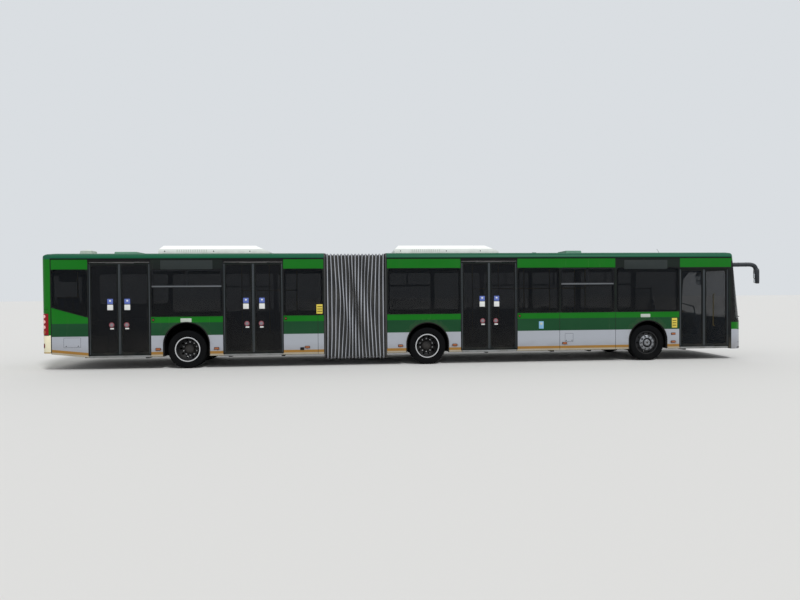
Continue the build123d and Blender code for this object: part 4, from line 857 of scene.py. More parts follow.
def closed(corners, radius):
    """A closed outline with eased corners, started half-way along its first side."""
    corners = [np.asarray(corner, float) for corner in corners]
    start = (corners[0] + corners[1]) / 2
    return bend([start] + corners[1:] + [corners[0], start], radius)[:-1]


def drawn_in(line, inset):
    """A closed outline moved inwards by an even distance: each point goes along its line's left-hand normal."""
    along = unit(np.roll(line, -1, axis=0) - np.roll(line, 1, axis=0))
    return line + inset * np.stack((-along[:, 1], along[:, 0]), -1)


for body in BODY_PARTS:
    seals = Form()
    for side, rear, front, sill, tilts in on_body(PANES, body):
        on = SIDES[side]
        centre, half = ((rear + front) / 2, (sill + GLASS_TOP) / 2), ((front - rear) / 2, (GLASS_TOP - sill) / 2)
        seals.surround(on, centre, half, -0.006, BEAD)
        if not tilts:
            continue
        top = GLASS_TOP - 0.02
        middle = (rear + front) / 2
        for low_x, high_x in ((rear + 0.022, middle - 0.004), (middle + 0.004, front - 0.022)):
            centre = ((low_x + high_x) / 2, (HOPPER_LOW + top) / 2)
            half = ((high_x - low_x) / 2, (top - HOPPER_LOW) / 2)
            seals.surround(on, centre, half, -0.004, HOPPER_FRAME, 1)
        rail = ((front - rear) / 2 - 0.02, 0.016)
        # painted highlight: the door side's rail takes the lighter grey
        seals.plate(on, (middle, HOPPER_LOW - 0.012), rail, 0.006, -0.004, 0.004, 0.003, 2 if side < 0 else 1)
    if body == REAR:
        end_x = REAR_MASK + 0.011
        end_pane = closed([(end_x, SILL + HIGH_SILL_RISE), (DOOR_4_POST, SILL), (DOOR_4_POST, GLASS_TOP),
                           (end_x, GLASS_TOP)], 0.075)
        seals.frame(SIDES[-1], lambda inset, corner: drawn_in(end_pane, inset), -0.006, BEAD)
    seals.made(body + "_window_seals", body, "dark_plastic", [rubber, hopper_grey, hopper_rail])


# Wheel arches: a black rubber lip pressed on the skin's edge, up over the wheel and straight down each side.
# arch rows are body, X, radius, height of its top; lip rows are inset, level
ARCHES = [(FRONT, FRONT_AXLE, 0.51, 1.05), (FRONT, MIDDLE_AXLE, 0.53, 1.062), (REAR, REAR_AXLE, 0.545, 1.137)]
ARCH_LIP = [(-0.022, -0.001), (-0.02, 0.006), (-0.004, 0.011), (0.004, 0.008), (0.004, -0.03), (-0.001, -0.03)]
for body in BODY_PARTS:
    lips = Form()
    for x, radius, top in on_body(ARCHES, body):
        for side in (-1, 1):
            turn = np.linspace(0, np.pi, 40)
            rings = []
            for inset, out in ARCH_LIP:
                span = radius - inset
                line = np.concatenate((
                    [(x + span, SKIRT_LOW + 0.004)],
                    np.stack((x + span * np.cos(turn), top - radius + span * np.sin(turn)), -1),
                    [(x - span, SKIRT_LOW + 0.004)],
                ))
                rings.append(SIDES[side](line[:, 0], line[:, 1], out))
            lips.skin(np.swapaxes(np.array(rings), 0, 1))
    lips.made(body + "_arch_lips", body, "dark_plastic", [rubber])


# Doors: pairs of leaves in dark aluminium frames, each with one tall dark pane held in black rubber, rubber along the
# free edges and a rail inside. Pillars turn them from arms above and below. Stickers on the panes are blank.
LEAF_RECESS = 0.012
LEAF_THICK = 0.04
LEAF_FRAME = 0.046
LEAF_PIN = 0.017
frame_grey = worn("door_frame_grey", (16, 22, 22), 0.5, share=0.15, low=(0.36, 1.0), grain=(260, 0.0002), gloss=0.12)
frame_edge = worn("door_frame_edge", (84, 90, 95), 0.4, share=0.2, low=(0.36, 1.0), grain=(260, 0.0002), Metallic=0.6)
door_pane = Finish("door_pane", seen(8, 11, 16), 0.05, Alpha=0.7, gloss=0.14)
pane_film = door_pane.times(door_pane.cloud(2, 3), door_pane.rise(door_pane.along("Z"), 0.4, 1.0, 0.25, 0.04))
door_pane.colour(door_pane.mix(pane_film, seen(8, 11, 16), seen(84, 80, 72)))
clear_pane = Finish("front_door_pane", seen(10, 15, 20), 0.05, Alpha=0.52, gloss=0.18)
clear_pane.smeared(3, 4, 0.4, 0.8, 0.04, 0.12)
door_pane.dulled(pane_film, 0.5, 0.04)
rail_paint = worn("rail_paint", (236, 206, 96), 0.3, share=0.1, low=(0.4, 1.2))
sticker_blue = worn("sticker_blue", (84, 104, 176), 0.4, share=0.1)
sticker_white = worn("sticker_white", (214, 216, 214), 0.45, share=0.15)
sticker_red = worn("sticker_red", (132, 62, 72), 0.4, share=0.1)
sticker_grey = worn("sticker_grey", (120, 116, 122), 0.45, share=0.1)
# sticker rows are the door, then each leaf's square and round sticker's distance from the doorway's middle
STICKERS = {"door_2": (-0.18, -0.17, 0.197, 0.173), "door_3": (-0.181, -0.159, 0.212, 0.191),
            "door_4": (-0.224, -0.195, 0.18, 0.16)}
outside = SIDES[-1]

for name, (middle, wide, top) in DOORS.items():
    for jamb_name, jamb in (("rear", -1), ("front", 1)):
        node = f"{name}_{jamb_name}_leaf"
        low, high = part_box(node)
        centre = np.array([(low.x + high.x) / 2, (low.z + high.z) / 2])
        half = np.array([(high.x - low.x) / 2, (high.z - low.z) / 2 - LEAF_PIN])
        inner, outer = -LEAF_RECESS - LEAF_THICK, -LEAF_RECESS
        first_door, rear_leaf = name == "door_1", jamb < 0
        leaf = Form()
        leaf.surround(outside, centre, half, inner, [
            (0, 0.01, outer - 0.003), (0.003, 0.01, outer),
            (LEAF_FRAME - 0.006, 0.06, outer), (LEAF_FRAME, 0.055, outer - 0.004),
        ])
        leaf.surround(outside, centre, half, outer - 0.012,
                      [(LEAF_FRAME - 0.004, 0.06, outer + 0.001), (LEAF_FRAME + 0.01, 0.05, outer - 0.001)], 1)
        leaf.plate(outside, centre, half - LEAF_FRAME + 0.002, 0.056, outer - 0.012, outer - 0.004, 0.001, 2)
        for edge_x in (centre[0] - jamb * (half[0] - 0.008), centre[0] + jamb * (half[0] - 0.008)):
            edge_half = (0.006, half[1] - 0.012)
            leaf.plate(outside, (edge_x, centre[1]), edge_half, 0.003, outer - 0.002, outer + 0.0012, 0.001, 8)
        free = middle + jamb * 0.006
        leaf.box((free - jamb * 0.0035, -SKIN + 0.018, low.z + LEAF_PIN),
                 (free + jamb * 0.002, -SKIN + 0.046, high.z - LEAF_PIN), 0.001, 1)
        # the rail inside stands upright near the leaf's free edge, or is bent across door 1's rear leaf
        rail_x = centre[0] - (0.02 if first_door else jamb * (half[0] - LEAF_FRAME / 2))
        held, clear = -SKIN - inner - 0.004, -SKIN - inner + 0.045
        low_end, high_end = (0.9, 1.74) if first_door else (0.8, high.z - LEAF_PIN - 0.7)
        path = [(rail_x, held, low_end), (rail_x, clear, low_end), (rail_x, clear, high_end),
                (rail_x, held, high_end)]
        ease, rail_shade = 0.035, 3
        if first_door and rear_leaf:
            path = [(rail_x - 0.22, held, 1.5), (rail_x - 0.22, clear, 1.5), (rail_x + 0.12, clear, 1.42),
                    (rail_x + 0.22, clear, 0.9), (rail_x + 0.22, held, 0.9)]
            ease, rail_shade = 0.045, 8
        leaf.pipe(bend(path, ease), 0.0145, rail_shade, 16)
        pane_out = outer - 0.004
        if name in STICKERS:
            square, disc = STICKERS[name][:2] if rear_leaf else STICKERS[name][2:]
            # rows are distance from the doorway's middle, height, half size, corner, thickness, shade
            for x, z, size, corner, thick, shade in (
                (square, 1.675, (0.066, 0.062), 0.006, 0.0008, 4), (square, 1.53, (0.068, 0.066), 0.006, 0.0008, 5),
                (square, 1.69, (0.022, 0.02), 0.01, 0.0014, 5), (disc, 1.1, (0.062, 0.062), 0.061, 0.0008, 6),
                (disc, 1.1, (0.04, 0.04), 0.039, 0.0014, 7), (disc + 0.01, 1.01, (0.045, 0.016), 0.004, 0.0014, 5),
            ):
                leaf.plate(outside, (middle + x, z), size, corner, pane_out, pane_out + thick, 0.0003, shade)
        pane = clear_pane if first_door else door_pane
        finishes = [frame_grey, rubber, pane, rail_paint, sticker_blue, sticker_white, sticker_red,
                    sticker_grey, frame_edge]
        leaf.made(node + "_made", node, "door_frame", finishes, [node])
        dressed(f"{name}_{jamb_name}_pillar", frame_grey)


# Bellows: one tube of coated grey cloth in even pleats, with a light piped edge along each crest, clamped to dark
# steel frames on both sections. The hollows between the pleats are painted near-black as painted shade. It hangs
# slack, so the folds draw together towards their middle at half height.
PLEATS = 17
PLEAT_DEPTH = 0.05
BELLOWS_FRONT = FRONT_REAR - 0.04
BELLOWS_REAR = REAR_FRONT + 0.04
BELLOWS_LOW = 0.175
BELLOWS_HIGH = 2.845
BELLOWS_HALF = 1.262
BELLOWS_CORNER = 0.11
BELLOWS_DRAW = 0.036
FOLD_WANDER = 0.014
CLOTH_THICK = 0.004


def bellows_cloth():
    """A rounded rectangle carried along the bus, drawn in by a rounded zigzag of 17 waves.

    Its distance along is t + (draw * sin(2 pi t) + wander) * sin(pi h), with t the share of its length, h the share
    of its height and wander a small uneven shift. So the crests lean inwards at half height.
    """
    along = np.linspace(0, 1, PLEATS * 10 + 1)
    wave = np.abs((along * PLEATS) % 1 * 2 - 1)
    inset = PLEAT_DEPTH * (0.5 - 0.5 * np.cos(np.pi * wave)) ** 0.8
    middle = (BELLOWS_LOW + BELLOWS_HIGH) / 2
    half_high = (BELLOWS_HIGH - BELLOWS_LOW) / 2
    outline = rounded(BELLOWS_HALF, half_high, BELLOWS_CORNER, 7)
    rows = []
    for start, end in zip(outline, np.roll(outline, -1, axis=0)):
        pieces = max(1, int(np.linalg.norm(end - start) / 0.1))
        rows.append(start + (end - start) * (np.arange(pieces) / pieces)[:, None])
    line = np.concatenate(rows)
    nearest = np.clip(line, [-BELLOWS_HALF + BELLOWS_CORNER, -half_high + BELLOWS_CORNER],
                      [BELLOWS_HALF - BELLOWS_CORNER, half_high - BELLOWS_CORNER])
    outward = unit(line - nearest)
    ring = line[None] - inset[:, None, None] * outward[None]
    share = np.clip((line[:, 1] + half_high) / (2 * half_high), 0, 1)
    slack = np.abs(outward[:, 0]) * np.sin(np.pi * share)
    wander = np.sin(share * 9 + along[:, None] * 31) * np.sin(along[:, None] * 57) * np.sin(np.pi * along)[:, None]
    x = BELLOWS_FRONT + (BELLOWS_REAR - BELLOWS_FRONT) * (
        along[:, None] + (BELLOWS_DRAW * np.sin(2 * np.pi * along)[:, None] + FOLD_WANDER * wander) * slack[None]
    )
    grid = np.stack((x, ring[..., 0], ring[..., 1] + middle), -1)
    fold = np.broadcast_to((along * PLEATS)[:, None], grid.shape[:2])
    return grid, fold


canvas = Finish("bellows_cloth", seen(72, 76, 82), 0.7, Sheen_Weight=0.15)
fold_place = canvas.step("SeparateXYZ", {0: canvas.step("UVMap", {}, uv_map="folds")}, "X")
crest = canvas.sum("ABSOLUTE", canvas.less(canvas.sum("FRACT", fold_place), 0.5))
piping = canvas.rise(crest, 0.06, 0.11, 1.0, 0.0)
# painted shade: the cloth turns near-black down in the hollows between the pleats
valley_painted_shade = canvas.rise(crest, 0.1, 0.34, 0.0, 1.0)
cloth_dirt = canvas.times(canvas.rise(canvas.cloud(4, 6, (1, 1, 0.4)), 0.35, 0.75), 0.3)
shade = canvas.mix(valley_painted_shade, seen(60, 63, 70), seen(8, 9, 11))
shade = canvas.mix(cloth_dirt, shade, seen(104, 102, 96))
canvas.colour(canvas.mix(piping, shade, seen(172, 176, 184)))
canvas.roughness(canvas.rise(cloth_dirt, 0, 0.5, 0.6, 0.85))
canvas.bump(canvas.cloud(260, 2), 0.0006)

grid, fold = bellows_cloth()
rows, places = grid.shape[:2]
cloth = Form()
cloth.skin(grid, capped=False)
bellows_mesh = bpy.data.meshes.new("bellows_folds")
bellows_mesh.from_pydata(np.concatenate(cloth.points).tolist(), [], cloth.faces)
bellows_mesh.polygons.foreach_set("use_smooth", np.ones(len(bellows_mesh.polygons), bool))
corner_of = np.zeros(len(bellows_mesh.loops), np.int32)
bellows_mesh.loops.foreach_get("vertex_index", corner_of)
folds = bellows_mesh.uv_layers.new(name="folds")
folds.data.foreach_set("uv", np.stack((fold.reshape(-1)[corner_of], (corner_of % places) / places), -1).reshape(-1))
bellows_mesh.materials.append(canvas.material)
bellows_folds = shown("bellows_folds", bellows_mesh)
tidy = bmesh.new()
tidy.from_mesh(bellows_mesh)
bmesh.ops.recalc_face_normals(tidy, faces=tidy.faces)
tidy.to_mesh(bellows_mesh)
tidy.free()
wall = bellows_folds.modifiers.new("cloth_wall", "SOLIDIFY")
wall.thickness = CLOTH_THICK
wall.offset = -1
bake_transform(bellows_folds)
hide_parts("bellows")
frame_steel = worn("frame_steel", (40, 42, 44), 0.55, share=0.4, grain=(60, 0.0008))
for node in ("joint_front_frame", "joint_rear_frame"):
    dressed(node, frame_steel)


# Wheels: low tubeless tyres on steel rims, single in front and twin behind. Each rim is a rolled band with a pressed
# disc, ten hand holes and ten nuts. The front wheels carry a bright drilled cap over the nuts, the others a dark hub.
TYRE_RADIUS = AXLE_HIGH
TYRE_HALF = 0.1375
BEAD_HALF = 0.094
RIM_RADIUS = 0.292
FLANGE_RADIUS = 0.306
WHEEL_Y = 1.087
TWIN_SPACING = 0.31
HUB_BORE = 0.062
HAND_HOLES = 10
HAND_CIRCLE = 0.205
HAND_RADIUS = 0.027
NUT_CIRCLE = 0.1675
TREAD_STEPS = 180
tyre_rubber = worn("tyre_rubber", (12, 13, 15), 0.8, (60, 58, 54), 0.09, (0.0, 0.9), (180, 0.0006), gloss=0.06)
rim_dark = worn("rim_dark", (28, 30, 34), 0.5, (70, 66, 58), 0.35, (0.1, 1.0), (70, 0.0008), gloss=0.2)
rim_bright = worn("rim_bright", (200, 202, 205), 0.32, (110, 104, 94), 0.35, (0.1, 1.0), (120, 0.0003), Metallic=0.35)
cap_steel = worn("cap_steel", (138, 141, 146), 0.3, (84, 82, 76), 0.3, (0.1, 1.0), (120, 0.0003), Metallic=0.45)
hub_iron = worn("hub_iron", (34, 34, 36), 0.55, (74, 64, 50), 0.4, (0.1, 1.0), (60, 0.001))


def spokes(axis, angle):
    """Directions round an axle: level at an angle of nought, then upright."""
    across = np.cross(axis, [0.0, 0, 1])
    return np.cos(angle)[..., None] * across + np.sin(angle)[..., None] * np.array([0.0, 0, 1])


def tyre_rings(centre, axis):
    """A tyre's closed section spun round the axle, with its edge blocks cut by a square wave of the angle.

    The tread has four grooves round it, and the walls have low ribs at two heights.
    """
    wall = [(BEAD_HALF, RIM_RADIUS), (BEAD_HALF + 0.006, FLANGE_RADIUS + 0.002), (0.118, 0.322), (0.13, 0.345),
            (0.1345, 0.352), (0.133, 0.357), (0.137, 0.378), (TYRE_HALF, 0.395), (0.1362, 0.42), (0.1345, 0.43),
            (0.135, 0.434), (0.13, 0.452), (0.123, 0.462)]
    groove_walls = []
    for middle in (0.078, 0.026, -0.026, -0.078):
        groove_walls += [(middle + 0.0055, TYRE_RADIUS), (middle + 0.0045, TYRE_RADIUS - 0.011),
                         (middle - 0.0045, TYRE_RADIUS - 0.011), (middle - 0.0055, TYRE_RADIUS)]
    tread = [(0.112, TYRE_RADIUS - 0.0015)] + groove_walls + [(-0.112, TYRE_RADIUS - 0.0015)]
    profile = np.array(wall + tread + [(-y, r) for y, r in reversed(wall)])
    angle = np.linspace(0, 2 * np.pi, TREAD_STEPS, endpoint=False)
    cut = np.where(np.arange(TREAD_STEPS) % 6 < 1, 0.008, 0.0)
    shoulder = (np.abs(profile[:, 0]) > 0.1) & (profile[:, 1] > 0.445)
    radius = profile[:, 1, None] - shoulder[:, None] * cut[None]
    axis = unit(axis)
    spoke = spokes(axis, angle)
    return np.asarray(centre, float) + profile[:, 0, None, None] * axis + radius[..., None] * spoke[None]


def drilled(form, centre, axis, low, high, holes, circle, hole, faces, shade):
    """A ring with round holes: in each equal sector, rows run from the hole's circle out to the sector's edge.

    faces gives the two faces' distance along the axis as functions of the radius.
    """
    side = 9
    edge = np.linspace(-1, 1, side)[:-1]
    square = np.concatenate([np.stack((np.ones_like(edge), edge), -1), np.stack((-edge, np.ones_like(edge)), -1),
                             np.stack((-np.ones_like(edge), -edge), -1), np.stack((edge, -np.ones_like(edge)), -1)])
    turn = np.arctan2(square[:, 1], square[:, 0])
    sector = np.pi / holes
    rim_angle = square[:, 1] * sector
    rim_radius = (low + high) / 2 + square[:, 0] * (high - low) / 2
    rim_radius = np.where(square[:, 0] >= 1, high, np.where(square[:, 0] <= -1, low, rim_radius))
    hole_across = hole * np.sin(turn)
    hole_out = circle + hole * np.cos(turn)
    hole_angle, hole_radius = np.arctan2(hole_across, hole_out), np.hypot(hole_across, hole_out)
    share = np.linspace(0, 1, 5)[:, None]
    angle = hole_angle + (rim_angle - hole_angle) * share
    radius = hole_radius + (rim_radius - hole_radius) * share
    axis = unit(axis)
    for n in range(holes):
        flat = np.asarray(centre, float) + radius[..., None] * spokes(axis, angle + 2 * sector * n)
        front = flat + faces[0](radius)[..., None] * axis
        back = flat + faces[1](radius)[..., None] * axis
        form.skin(np.concatenate((front[::-1], back)), shade, capped=False)


def nuts(form, centre, axis, circle, count, shade, start):
    """Nuts on their washers evenly round the axle, the first at a given angle."""
    one = Form()
    one.turned([(-0.002, CLOSED), (0, 0.019), (0.004, 0.019), (0.004, 0.0155), (0.02, 0.0155), (0.024, 0.012),
                (0.024, 0.006), (0.034, 0.006), (0.034, CLOSED)], centre, axis, 6, shade, looped=False)
    angle = np.linspace(0, 2 * np.pi, count, endpoint=False) + start
    form.copies(one, spokes(axis, angle) * circle)


def cap_bolts(form, centre, axis, profile, circle, shade):
    """Eight small bolts evenly round the axle: one is spun from its profile, then copied to each place."""
    bolt = Form()
    bolt.knob(profile, centre, axis, 6, shade)
    angle = np.linspace(0, 2 * np.pi, 8, endpoint=False)
    form.copies(bolt, np.stack((np.cos(angle), 0 * angle, np.sin(angle)), -1) * circle)


def barrel(form, centre, axis, shade, lip_shade):
    """A rolled rim band: its well and its two flanges, spun round the axle."""
    seat, deep = BEAD_HALF, RIM_RADIUS - 0.012
    form.turned([
        (-seat - 0.014, deep), (-seat, deep - 0.002), (-0.03, deep - 0.016), (0.03, deep - 0.016),
        (seat, deep - 0.002), (seat + 0.012, deep), (seat + 0.012, RIM_RADIUS), (seat, RIM_RADIUS),
        (-seat, RIM_RADIUS), (-seat - 0.014, RIM_RADIUS),
    ], centre, axis, 96, shade)
    form.turned([
        (seat + 0.002, deep + 0.001), (seat + 0.013, deep + 0.002), (seat + 0.0165, RIM_RADIUS + 0.004),
        (seat + 0.0135, FLANGE_RADIUS), (seat + 0.008, FLANGE_RADIUS), (seat + 0.006, RIM_RADIUS),
    ], centre, axis, 96, lip_shade)


def front_wheel(name, x, side):
    """The single front wheel: its disc stands near the outer flange, under a bright domed cap with small holes."""
    centre, axis = np.array([x, side * WHEEL_Y, AXLE_HIGH]), np.array([0.0, side, 0])
    rim = Form()
    barrel(rim, centre, axis, 1, 1)
    drilled(rim, centre, axis, 0.13, RIM_RADIUS - 0.012, HAND_HOLES, HAND_CIRCLE + 0.04, HAND_RADIUS - 0.004,
            (lambda r: 0.09 - 1.6 * (r - 0.16) ** 2, lambda r: 0.078 - 1.6 * (r - 0.16) ** 2), 1)
    rim.turned([(0.06, HUB_BORE), (0.06, 0.135), (0.092, 0.135), (0.1, 0.128), (0.1, HUB_BORE)], centre, axis, 64, 1)
    nuts(rim, centre + axis * 0.098, axis, NUT_CIRCLE, HAND_HOLES, 2, 0.0)
    drilled(rim, centre, axis, 0.128, 0.206, HAND_HOLES, NUT_CIRCLE, 0.0275,
            (lambda r: 0.143 - 2.4 * (r - 0.09) ** 2, lambda r: 0.139 - 2.4 * (r - 0.09) ** 2), 2)
    rim.turned([(0.104, 0.204), (0.11, 0.218), (0.122, 0.218), (0.127, 0.204), (0.1185, 0.203)], centre, axis, 96, 0)
    rim.turned([(0.08, 0.084), (0.128, 0.084), (0.142, 0.078), (0.15, 0.066), (0.15, HUB_BORE * 0.8),
                (0.146, HUB_BORE * 0.7), (0.143, 0.001), (0.14, 0.001), (0.136, 0.05), (0.08, 0.05)],
                centre, axis, 64, 2)
    cap_bolts(rim, centre + axis * 0.15, axis, [(0, 0.007), (0.006, 0.007), (0.008, 0.005)], 0.058, 1)
    finishes = [rim_dark, rim_dark, cap_steel]
    rim.made(name + "_rim_made", name + "_wheel", "wheel_steel", finishes, [name + "_rim"], weld=1e-5)


def twin_wheel(name, x, side):
    """Twin wheels: the outer one's disc lies deep, back to back with the inner one's. The hub stands out of it."""
    centre, axis = np.array([x, side * WHEEL_Y, AXLE_HIGH]), np.array([0.0, side, 0])
    inner = centre - axis * TWIN_SPACING
    disc = centre - axis * TWIN_SPACING / 2
    rim = Form()
    barrel(rim, centre, axis, 1, 0)
    barrel(rim, inner, -axis, 1, 1)
    drilled(rim, disc, axis, 0.13, RIM_RADIUS - 0.01, HAND_HOLES, HAND_CIRCLE + 0.018, HAND_RADIUS,
            (lambda r: 0.014 + 3.2 * np.maximum(r - 0.2, 0) ** 1.5, lambda r: -0.014 - 0 * r), 1)
    joined = TWIN_SPACING / 2 - BEAD_HALF
    rim.turned([(-joined, RIM_RADIUS - 0.012), (joined, RIM_RADIUS - 0.012), (joined, RIM_RADIUS - 0.002),
                (-joined, RIM_RADIUS - 0.002)], disc, axis, 96, 1)
    rim.turned([(-0.075, HUB_BORE), (-0.075, 0.118), (0.014, 0.135), (0.03, 0.135), (0.04, 0.118), (0.072, 0.112),
                (0.08, 0.104), (0.08, HUB_BORE)], disc, axis, 64, 2)
    rim.turned([(0.074, HUB_BORE * 0.95), (0.08, 0.09), (0.088, 0.09), (0.094, 0.08), (0.094, 0.03), (0.1, 0.026),
                (0.1, 0.001), (0.09, 0.001), (0.086, 0.06)], disc, axis, 64, 2)
    nuts(rim, disc + axis * 0.014, axis, NUT_CIRCLE, HAND_HOLES, 0, math.pi / HAND_HOLES)
    cap_bolts(rim, disc + axis * 0.094, axis, [(0, 0.009), (0.008, 0.009), (0.01, 0.006)], 0.062, 2)
    finishes = [rim_bright, rim_dark, hub_iron]
    rim.made(name + "_rim_made", name + "_wheel", "wheel_steel", finishes, [name + "_rim"], weld=1e-5)


for axle, x, twin in (("front", FRONT_AXLE, False), ("middle", MIDDLE_AXLE, True), ("rear", REAR_AXLE, True)):
    for side_name, side in (("right", -1), ("left", 1)):
        name = f"{axle}_{side_name}"
        tyre = Form()
        centre = np.array([x, side * WHEEL_Y, AXLE_HIGH])
        tyre.skin(tyre_rings(centre, (0, side, 0)), looped=True)
        if twin:
            tyre.skin(tyre_rings(centre - [0, side * TWIN_SPACING, 0], (0, side, 0)), looped=True)
        tyre.made(name + "_tyre_made", name + "_wheel", "tyre", [tyre_rubber], [name + "_tyre"], sharp=30)
        (twin_wheel if twin else front_wheel)(name, x, side)


# Axles and wheel ends: cast and welded steel under chassis black, dusty and a little rusty.
chassis_black = worn("chassis_black", (42, 42, 42), 0.65, (104, 90, 70), 0.6, (0.1, 0.9), (45, 0.0012))
engine_grey = worn("engine_iron", (112, 114, 112), 0.5, (70, 60, 46), 0.7, (0.3, 1.3), (30, 0.0016), Metallic=0.4)
for node in ("front_axle", "middle_axle", "drive_axle", "left_knuckle", "right_knuckle"):
    dressed(node, chassis_black)
dressed("engine", engine_grey)


# Mirrors: long hooked arms of dark tube from the roof's front corners, each flowing into a tapered moulded housing
# that hangs down and is turned towards the driver, with a large glass and a small wide-angle glass under it.
MIRROR_LOW = 2.01
MIRROR_HIGH = 2.42
MIRROR_ARM_Z = 2.522
MIRROR_HALF_DEEP = 0.0575
MIRROR_HALF_WIDE = 0.115
# mirror rows are side, turn towards the driver in degrees
MIRRORS = [(-1, 26), (1, 10)]
mirror_black = worn("mirror_black", (44, 48, 53), 0.42, share=0.12, grain=(320, 0.0003), gloss=0.25)
mirror_glass = Finish("mirror_glass", seen(196, 202, 206), 0.04, Metallic=1.0)
mirror_glass.smeared(6, 4, 0.4, 0.9, 0.03, 0.09)
mirrors = Form()
for side, degrees in MIRRORS:
    turn = math.radians(degrees)
    reach_x = MIRROR_HALF_DEEP * math.cos(turn) + MIRROR_HALF_WIDE * math.sin(turn) * 0.8
    reach_y = MIRROR_HALF_DEEP * math.sin(turn) * 0.8 + MIRROR_HALF_WIDE * math.cos(turn)
    middle = (cad_high.x - reach_x - 0.001, side * (cad_high.y - reach_y - 0.001))

    def turned_place(a, b, z, side=side, turn=turn, middle=middle):
        """A point by how far forward and how far outward it lies in the housing, turned about its middle."""
        a, b = np.broadcast_arrays(a, b)
        x = middle[0] + a * math.cos(turn) - b * math.sin(turn)
        y = middle[1] + side * (a * math.sin(turn) + b * math.cos(turn))
        return np.stack((x, y, z * np.ones_like(x)), -1)

    height = np.array([0.0, 0.02, 0.07, 0.2, 0.5, 0.72, 0.86, 0.95, 1.0])
    deep = np.array([0.4, 0.6, 0.72, 0.78, 0.88, 0.98, 1.0, 0.9, 0.66]) * MIRROR_HALF_DEEP
    wide = np.array([0.6, 0.82, 0.93, 1.0, 1.0, 0.98, 0.92, 0.8, 0.6]) * MIRROR_HALF_WIDE
    onward = np.array([0.46, 0.32, 0.26, 0.2, 0.1, 0.02, 0.0, -0.04, -0.1]) * MIRROR_HALF_DEEP
    rings = []
    for share, a, b, shift in zip(height, deep, wide, onward):
        line = rounded(a, b, min(a, b) * 0.75)
        rings.append(turned_place(line[:, 0] + shift, line[:, 1], MIRROR_LOW + share * (MIRROR_HIGH - MIRROR_LOW)))
    mirrors.skin(rings)
    back = lambda u, v, w, place=turned_place: place(-w * np.ones_like(u), u, v)
    large, small = (0, 2.262), (0, 2.083)
    mirrors.surround(back, large, (0.098, 0.115), 0.04,
                     [(0, 0.03, 0.054), (0.004, 0.028, 0.056), (0.009, 0.024, 0.054)])
    mirrors.plate(back, large, (0.09, 0.107), 0.024, 0.036, 0.052, 0.001, 1)
    mirrors.surround(back, small, (0.088, 0.05), 0.03,
                     [(0, 0.02, 0.046), (0.004, 0.018, 0.048), (0.008, 0.015, 0.046)])
    mirrors.plate(back, small, (0.081, 0.043), 0.015, 0.026, 0.044, 0.001, 1)
    foot = (FRONT_TIP - 0.3, side * 1.12, MIRROR_ARM_Z)
    reach = (middle[0] - 0.03, side * (abs(middle[1]) - 0.02), MIRROR_ARM_Z)
    path = bend([foot, reach, (middle[0], middle[1], MIRROR_HIGH - 0.11)], 0.17, 14)
    mirrors.pipe(path, np.linspace(0.056, 0.054, len(path)), 0, 24)
    along = np.array(reach) - foot
    for place in (0.3, 0.62):
        spot = np.array(foot) + along * place
        mirrors.turned([(-0.01, 0.052), (-0.008, 0.0585), (0.008, 0.0585), (0.01, 0.052)], spot, along, 32, 0)
mirrors.made("mirrors_made", FRONT, "dark_plastic", [mirror_black, mirror_glass], ["mirrors"])


# Roof fittings: two moulded hatches, a white service hatch with a round vent at the rear, a dome and an aerial in
# front, and on each roof unit four fans under round guards, cover joints and side louvres.
UNIT_TOP = ROOF_HIGH + 0.205
UNIT_LENGTH = 2.75
HATCH_LEAN = 12
HATCH_FOOT = [(0, 0.06, 0.01), (0.006, 0.055, 0.014), (0.036, 0.045, 0.014), (0.04, 0.045, -0.004)]
LOUVRES = 14
UNIT_HALF = 0.94
FRONT_UNIT_REAR = MIDDLE_AXLE - 0.812
REAR_UNIT_REAR = REAR_AXLE - 0.76


def roof_face(high):
    """A way to place points on a level top: X, Y and how far up."""
    return lambda u, v, w: np.stack((u, v, (high + w) * np.ones_like(u)), -1)


hatch_grey = worn("hatch_grey", (104, 142, 122), 0.5, (120, 118, 106), 0.5, (2.6, 2.7), (60, 0.0006))
hatch_white = worn("hatch_white", (214, 220, 214), 0.4, (120, 118, 106), 0.5, (2.6, 2.7), (60, 0.0006))
grille_black = worn("grille_black", (34, 36, 38), 0.55, (110, 106, 96), 0.3, (2.6, 2.9))
